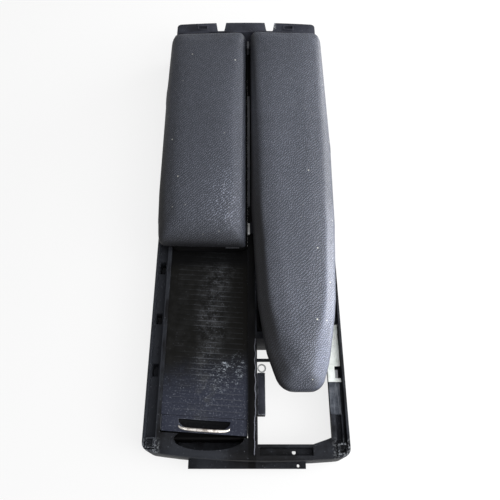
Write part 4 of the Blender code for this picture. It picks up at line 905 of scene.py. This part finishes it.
def mark_turns(piece, front_shade, sheen_share):
    """Marks the bevels, the sides that turn away from the window and those that face it."""
    marks = {"bevel": [], "shade": [], "sheen": []}
    for vert in piece.data.vertices:
        side = vert.normal
        place = vert.co
        forward = clamped((SHADE_REAR_Y - place.y) / SHADE_RANGE_Y)
        left_shade = SHADE_GAIN * (SHADE_AT_REAR + (1.0 - SHADE_AT_REAR) * forward)
        away = max(-side.x * left_shade, -side.y * front_shade, SHADE_UNDERSIDE - side.z)
        nearer = clamped((SHEEN_REAR_Y - place.y) / SHEEN_RANGE_Y)
        facing = clamped((side.x - SHEEN_LEAN[0]) / SHEEN_LEAN[1])
        facing *= clamped((side.z - SHEEN_LIFT[0]) / SHEEN_LIFT[1])
        marks["bevel"].append(clamped((BEVEL_TURN[0] - side.z) / BEVEL_TURN[1]))
        marks["shade"].append(clamped(away))
        marks["sheen"].append(facing * nearer * sheen_share)
    for name, values in marks.items():
        mark = piece.data.attributes.new(name, "FLOAT", "POINT")
        mark.data.foreach_set("value", spread(piece, values))


# %% [markdown]
# Both pads go through the same steps. One level of subdivision, after the swelling, makes the
# squares small enough for a smooth outline.

# %% The two pads
# Each pad's new name, body, front shade, share of sheen and rounds of smoothing.
PADS = {
    "left_lid_pad": ("left_leather_pad", "left_lid", 0.9, 0.1, 30),
    "right_lid_pad": ("right_leather_pad", "right_lid", 0.2, 1.0, 4),
}
for node, (name, body, front_shade, sheen_share, rounds) in PADS.items():
    piece = remeshed(node, name, rounds)
    swell(piece)
    apply(piece, "SUBSURF", levels=1, render_levels=1)
    mark_turns(piece, front_shade, sheen_share)
    lay_hide(piece)
    settle(piece, name, pad_leather, body, smooth=80.0)
    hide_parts(node)

# %% [markdown]
# The shutter's curtain is a sheet of narrow slats. A row of boxes would look alike from afar, but
# the real one is a single sheet. So a plain sheet is cut across by planes, as with a knife, and
# the thin strips between the slats are extruded down. The grooves stop short of the edges, where
# the sheet is left whole to run in the tracks. The front lip of each slat is marked as an edge,
# because that is what hands and cups rub. Last, the sheet is skewed, as its ends run slantwise.

# %% Slatted curtain
SLAT_PITCH = 0.0061
SLAT_COUNT = 33
GROOVE_WIDTH = 0.0009
GROOVE_DEPTH = 0.0004
LIP_WIDTH = 0.0009
BORDERS = (0.0115, 0.0075)
SHUTTER_SKEW = -0.066


def slice_at(place, normal):
    """Cuts the whole piece in edit mode by a plane."""
    bpy.ops.mesh.select_all(action="SELECT")
    bpy.ops.mesh.bisect(plane_co=place, plane_no=normal)


def curtain():
    size = bay_high - bay_low
    lean = abs(SHUTTER_SKEW) * size.x
    bpy.ops.object.select_all(action="DESELECT")
    bpy.ops.mesh.primitive_cube_add(size=1.0, location=(bay_low + bay_high) / 2)
    sheet = bpy.context.object
    sheet.scale = (size.x, size.y - lean, size.z)
    bpy.ops.object.transform_apply(location=True, rotation=True, scale=True)
    front = bay_low.y + lean / 2
    edit_mode()
    for x in (bay_low.x + BORDERS[0], bay_high.x - BORDERS[1]):
        slice_at((x, 0.0, 0.0), (1.0, 0.0, 0.0))
    for slat in range(1, SLAT_COUNT):
        y = front + slat * SLAT_PITCH
        for cut in (y - GROOVE_WIDTH, y, y + LIP_WIDTH):
            slice_at((0.0, cut, 0.0), (0.0, 1.0, 0.0))

    def in_groove(face):
        spot = face.calc_center_median()
        past = (spot.y - front) % SLAT_PITCH
        inside = bay_low.x + BORDERS[0] < spot.x < bay_high.x - BORDERS[1]
        return face.normal.z > 0.9 and inside and past > SLAT_PITCH - GROOVE_WIDTH

    grooves = pick_faces(in_groove)
    bpy.ops.mesh.extrude_region_move(TRANSFORM_OT_translate={"value": (0.0, 0.0, -GROOVE_DEPTH)})
    object_mode()
    mark = sheet.data.attributes.new("edge", "FLOAT", "FACE")
    for face in sheet.data.polygons:
        past = (face.center.y - front) % SLAT_PITCH
        inside = bay_low.x + BORDERS[0] < face.center.x < bay_high.x - BORDERS[1]
        mark.data[face.index].value = float(inside and face.normal.z > 0.9 and past < LIP_WIDTH)
    for vert in sheet.data.vertices:
        vert.co.y += SHUTTER_SKEW * (vert.co.x - BAY_MIDDLE_X)
    settle(sheet, "slatted_curtain", shutter_plastic, "shutter", smooth=20.0)
    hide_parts("shutter_curtain")
    print("cut", grooves, "grooves")


curtain()

# %% [markdown]
# Down the divider's right edge runs a thin wavy line of flash, left by the mould and polished
# pale. It starts as a thin bar, is sliced into short lengths, and its rings of points are then
# moved sideways by a slow wave. A bevel rounds it off.

# %% Flash along the divider
BEAD_Y = (-0.298, -0.178)
BEAD_X = 0.0098
BEAD_SIZE = (0.0009, 0.0008)
BEAD_WAVE = 0.00045
BEAD_RATES = (410.0, 1130.0)
BEAD_KINK = (-0.262, 0.0012, 0.0025)
BEAD_SLICE = 0.004
BEAD_SINK = 0.0003
BEAD_ROUND = 0.00025
BIN_TO_DIVIDER = 0.0025
divider_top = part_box("right_bin")[1].z + BIN_TO_DIVIDER
FLASH_COLOURS = (seen(92, 94, 104), seen(122, 124, 134), seen(176, 180, 190))
flash_grey = finish("flash_grey", moulded(*FLASH_COLOURS, 0.5, 0.3))


def bead_shift(y):
    """How far the flash wanders to the side here, with one kink in front."""
    kink_y, kink_width, kink_length = BEAD_KINK
    kink = kink_width / (1.0 + math.exp((y - kink_y) / kink_length))
    wave = math.sin(y * BEAD_RATES[0]) + 0.5 * math.sin(y * BEAD_RATES[1] + 1.0)
    return BEAD_WAVE * wave - kink


def divider_flash():
    bpy.ops.object.select_all(action="DESELECT")
    centre = (BEAD_X, sum(BEAD_Y) / 2, divider_top + BEAD_SIZE[1] / 2 - BEAD_SINK)
    bpy.ops.mesh.primitive_cube_add(size=1.0, location=centre)
    bead = bpy.context.object
    bead.scale = (BEAD_SIZE[0], BEAD_Y[1] - BEAD_Y[0], BEAD_SIZE[1])
    bpy.ops.object.transform_apply(location=True, rotation=True, scale=True)
    edit_mode()
    for cut in range(1, int((BEAD_Y[1] - BEAD_Y[0]) / BEAD_SLICE)):
        slice_at((0.0, BEAD_Y[0] + cut * BEAD_SLICE, 0.0), (0.0, 1.0, 0.0))
    object_mode()
    for vert in bead.data.vertices:
        vert.co.x += bead_shift(vert.co.y)
    soften(bead, BEAD_ROUND)
    settle(bead, "divider_flash", flash_grey, "frame")


divider_flash()

# %% [markdown]
# Each clip window in the rear bracket has a raised lip. A flat plate is inset, its middle is
# taken out, and what is left is given height by Solidify and rounded by Bevel. The lip is made
# once and copied to the other window.

# %% Window lips on the bracket
LIP_SIZES = (0.0150, 0.0086)
LIP_WALL = 0.0012
LIP_HEIGHT = 0.0014
LIP_ROUND = 0.0003
WINDOW_XS = (-0.064, 0.063)
WINDOW_SETBACK = 0.0095
BRACKET_BOW_RADIUS = 1.156
SCREW_HEAD = 0.0019
bracket_rear_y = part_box("rear_bracket")[1].y
plate_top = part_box("bracket_screw_1")[1].z - SCREW_HEAD
LIP_COLOURS = (seen(50, 51, 58), seen(66, 68, 76), seen(130, 133, 140))
lip_grey = finish("lip_grey", moulded(*LIP_COLOURS, 0.46))


def bracket_edge_y(x):
    """How far back the bracket's bowed rear edge runs here."""
    return bracket_rear_y - x * x / (2 * BRACKET_BOW_RADIUS)


def window_lip():
    x = WINDOW_XS[0]
    bpy.ops.object.select_all(action="DESELECT")
    place = (x, bracket_edge_y(x) - WINDOW_SETBACK, plate_top)
    bpy.ops.mesh.primitive_plane_add(size=1.0, location=place)
    lip = bpy.context.object
    lip.scale = (*LIP_SIZES, 1.0)
    bpy.ops.object.transform_apply(location=True, rotation=True, scale=True)
    edit_mode()
    bpy.ops.mesh.select_all(action="SELECT")
    bpy.ops.mesh.inset(thickness=LIP_WALL)
    bpy.ops.mesh.delete(type="FACE")
    object_mode()
    apply(lip, "SOLIDIFY", thickness=LIP_HEIGHT, offset=1.0)
    return soften(lip, LIP_ROUND)


left_lip = window_lip()
right_lip = left_lip.copy()
right_lip.data = left_lip.data.copy()
bpy.context.scene.collection.objects.link(right_lip)
shift_x = WINDOW_XS[1] - WINDOW_XS[0]
shift_y = bracket_edge_y(WINDOW_XS[1]) - bracket_edge_y(WINDOW_XS[0])
right_lip.location = (shift_x, shift_y, 0.0)
for piece, name in ((left_lip, "left_window_lip"), (right_lip, "right_window_lip")):
    settle(piece, name, lip_grey, "frame")

# %% [markdown]
# Two small fittings. A thin rubber tape fills the slit between the tray and the divider, so that
# the tray doesn't rattle, and a pale clip sits in the foam strip's window. Both start as boxes:
# the tape is only rounded, and the clip's top is inset and pushed down into a little cup.

# %% Tape and clip
TAPE_GAP = (0.00003, 0.00027)
TAPE_DROP = (0.0040, 0.0008)
TAPE_ENDS = 0.004
TAPE_ROUND = 0.00006
CLIP_SIZE = (0.0036, 0.0092, 0.0060)
CLIP_INSET = (0.0048, 0.0085, 0.0004)
CLIP_WALL = 0.0007
CLIP_CUP = 0.0016
CLIP_ROUND = 0.0002
CLIP_COLOURS = (seen(150, 153, 158), seen(176, 178, 182), seen(214, 216, 220))
clip_grey = finish("clip_grey", moulded(*CLIP_COLOURS, 0.5, 0.3))


def box_between(low, high):
    """A box with these lowest and highest corners."""
    bpy.ops.object.select_all(action="DESELECT")
    bpy.ops.mesh.primitive_cube_add(size=1.0, location=(Vector(low) + Vector(high)) / 2)
    made = bpy.context.object
    made.scale = Vector(high) - Vector(low)
    bpy.ops.object.transform_apply(location=True, rotation=True, scale=True)
    return made


def tray_tape():
    low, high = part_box("left_tray")
    tape = box_between(
        (high.x + TAPE_GAP[0], low.y + TAPE_ENDS, high.z - TAPE_DROP[0]),
        (high.x + TAPE_GAP[1], high.y - TAPE_ENDS, high.z - TAPE_DROP[1]),
    )
    soften(tape, TAPE_ROUND)
    settle(tape, "tray_tape", mat_rubber, "frame")


def window_clip():
    low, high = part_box("label_pad")
    middle_x = high.x - CLIP_INSET[0]
    middle_y = low.y + CLIP_INSET[1]
    top = high.z - CLIP_INSET[2]
    clip = box_between(
        (middle_x - CLIP_SIZE[0] / 2, middle_y - CLIP_SIZE[1] / 2, top - CLIP_SIZE[2]),
        (middle_x + CLIP_SIZE[0] / 2, middle_y + CLIP_SIZE[1] / 2, top),
    )
    edit_mode()
    pick_faces(lambda face: face.normal.z > 0.9)
    bpy.ops.mesh.inset(thickness=CLIP_WALL)
    bpy.ops.mesh.extrude_region_move(TRANSFORM_OT_translate={"value": (0.0, 0.0, -CLIP_CUP)})
    object_mode()
    soften(clip, CLIP_ROUND)
    settle(clip, "window_clip", clip_grey, "frame")


tray_tape()
window_clip()

# %% [markdown]
# The floor is pale paper that looks nearly white to the camera, yet still holds the part's shadow.
# So its material is mostly a glow for the rays that look at it, and plain paper for the light that
# falls on the part.

# %% Floor
FLOOR_SIZE = 6.0
FLOOR_DROP = 0.0002
FLOOR_GREY = (0.86, 0.86, 0.86, 1.0)
FLOOR_GLOW = 0.8


def backdrop(start):
    """1 where the camera, a reflection or glass looks, and 0 where light falls on the part."""
    camera_ray = start.node("LightPath", out="Is Camera Ray")
    glossy = start.node("LightPath", out="Is Glossy Ray")
    clear = start.node("LightPath", out="Is Transmission Ray")
    return start.maths("MAXIMUM", camera_ray, start.maths("MAXIMUM", glossy, clear))


def floor_finish():
    made = bpy.data.materials.new("pale_floor")
    made.use_nodes = True
    made.node_tree.nodes.clear()
    place = Wire(made.node_tree).node("TexCoord", out="Object")
    paper = place.node("BsdfDiffuse", None, {"Color": FLOOR_GREY})
    white = place.node("Emission", None, {"Color": (1.0, 1.0, 1.0, 1.0), "Strength": 1.0})
    shown = backdrop(place) * FLOOR_GLOW
    both = place.node("MixShader", None, {0: shown, 1: paper, 2: white})
    place.node("OutputMaterial", None, {"Surface": both})
    return made


bpy.ops.mesh.primitive_plane_add(size=FLOOR_SIZE, location=(0.0, 0.0, cad_box[0].z - FLOOR_DROP))
floor = bpy.context.object
floor.name = "floor"
floor.data.materials.append(floor_finish())
print("floor at", round(floor.location.z / MM, 1), "mm")

# %% [markdown]
# Soft light from a window on the right. The long sill lamp stands low on the right, so that it
# slides along the pads and glints on their right bevels, while the left bevels turn away from it.
# A window lamp in front, a broad lamp overhead and a grey sky fill the rest. The sky looks white
# to the camera and in reflections.

# %% Lamps and sky
SKY_LEVEL = 0.34
# Each lamp's place, aim, size in metres, and watts.
LAMPS = {
    "window_lamp": ((0.75, -0.45, 0.75), (0.05, -0.08, 0.07), (0.9, 0.7), 9.0),
    "sill_lamp": ((1.0, 0.40, 0.2), (0.08, -0.05, 0.07), (1.2, 0.35), 26.0),
    "overhead_lamp": ((0.25, -0.35, 1.4), (0.0, 0.0, 0.05), (1.0, 1.0), 9.0),
}


def lamp(name, place, aim, size, watts):
    """A rectangular soft lamp that faces its aim."""
    turn = (Vector(aim) - Vector(place)).to_track_quat("-Z", "Y").to_euler()
    bpy.ops.object.light_add(type="AREA", location=place, rotation=turn)
    made = bpy.context.object
    made.name = name
    made.data.shape = "RECTANGLE"
    made.data.size, made.data.size_y = size
    made.data.energy = watts


for name, settings in LAMPS.items():
    lamp(name, *settings)
print("lamps:", ", ".join(LAMPS))

world = bpy.data.worlds.new("studio")
world.use_nodes = True
world.node_tree.nodes.clear()
sky = backdrop(Wire(world.node_tree))
level = SKY_LEVEL + sky * (1.0 - SKY_LEVEL)
sky.node("OutputWorld", None, {"Surface": sky.node("Background", None, {"Strength": level})})
scene.world = world
scene.view_settings.view_transform = "Standard"
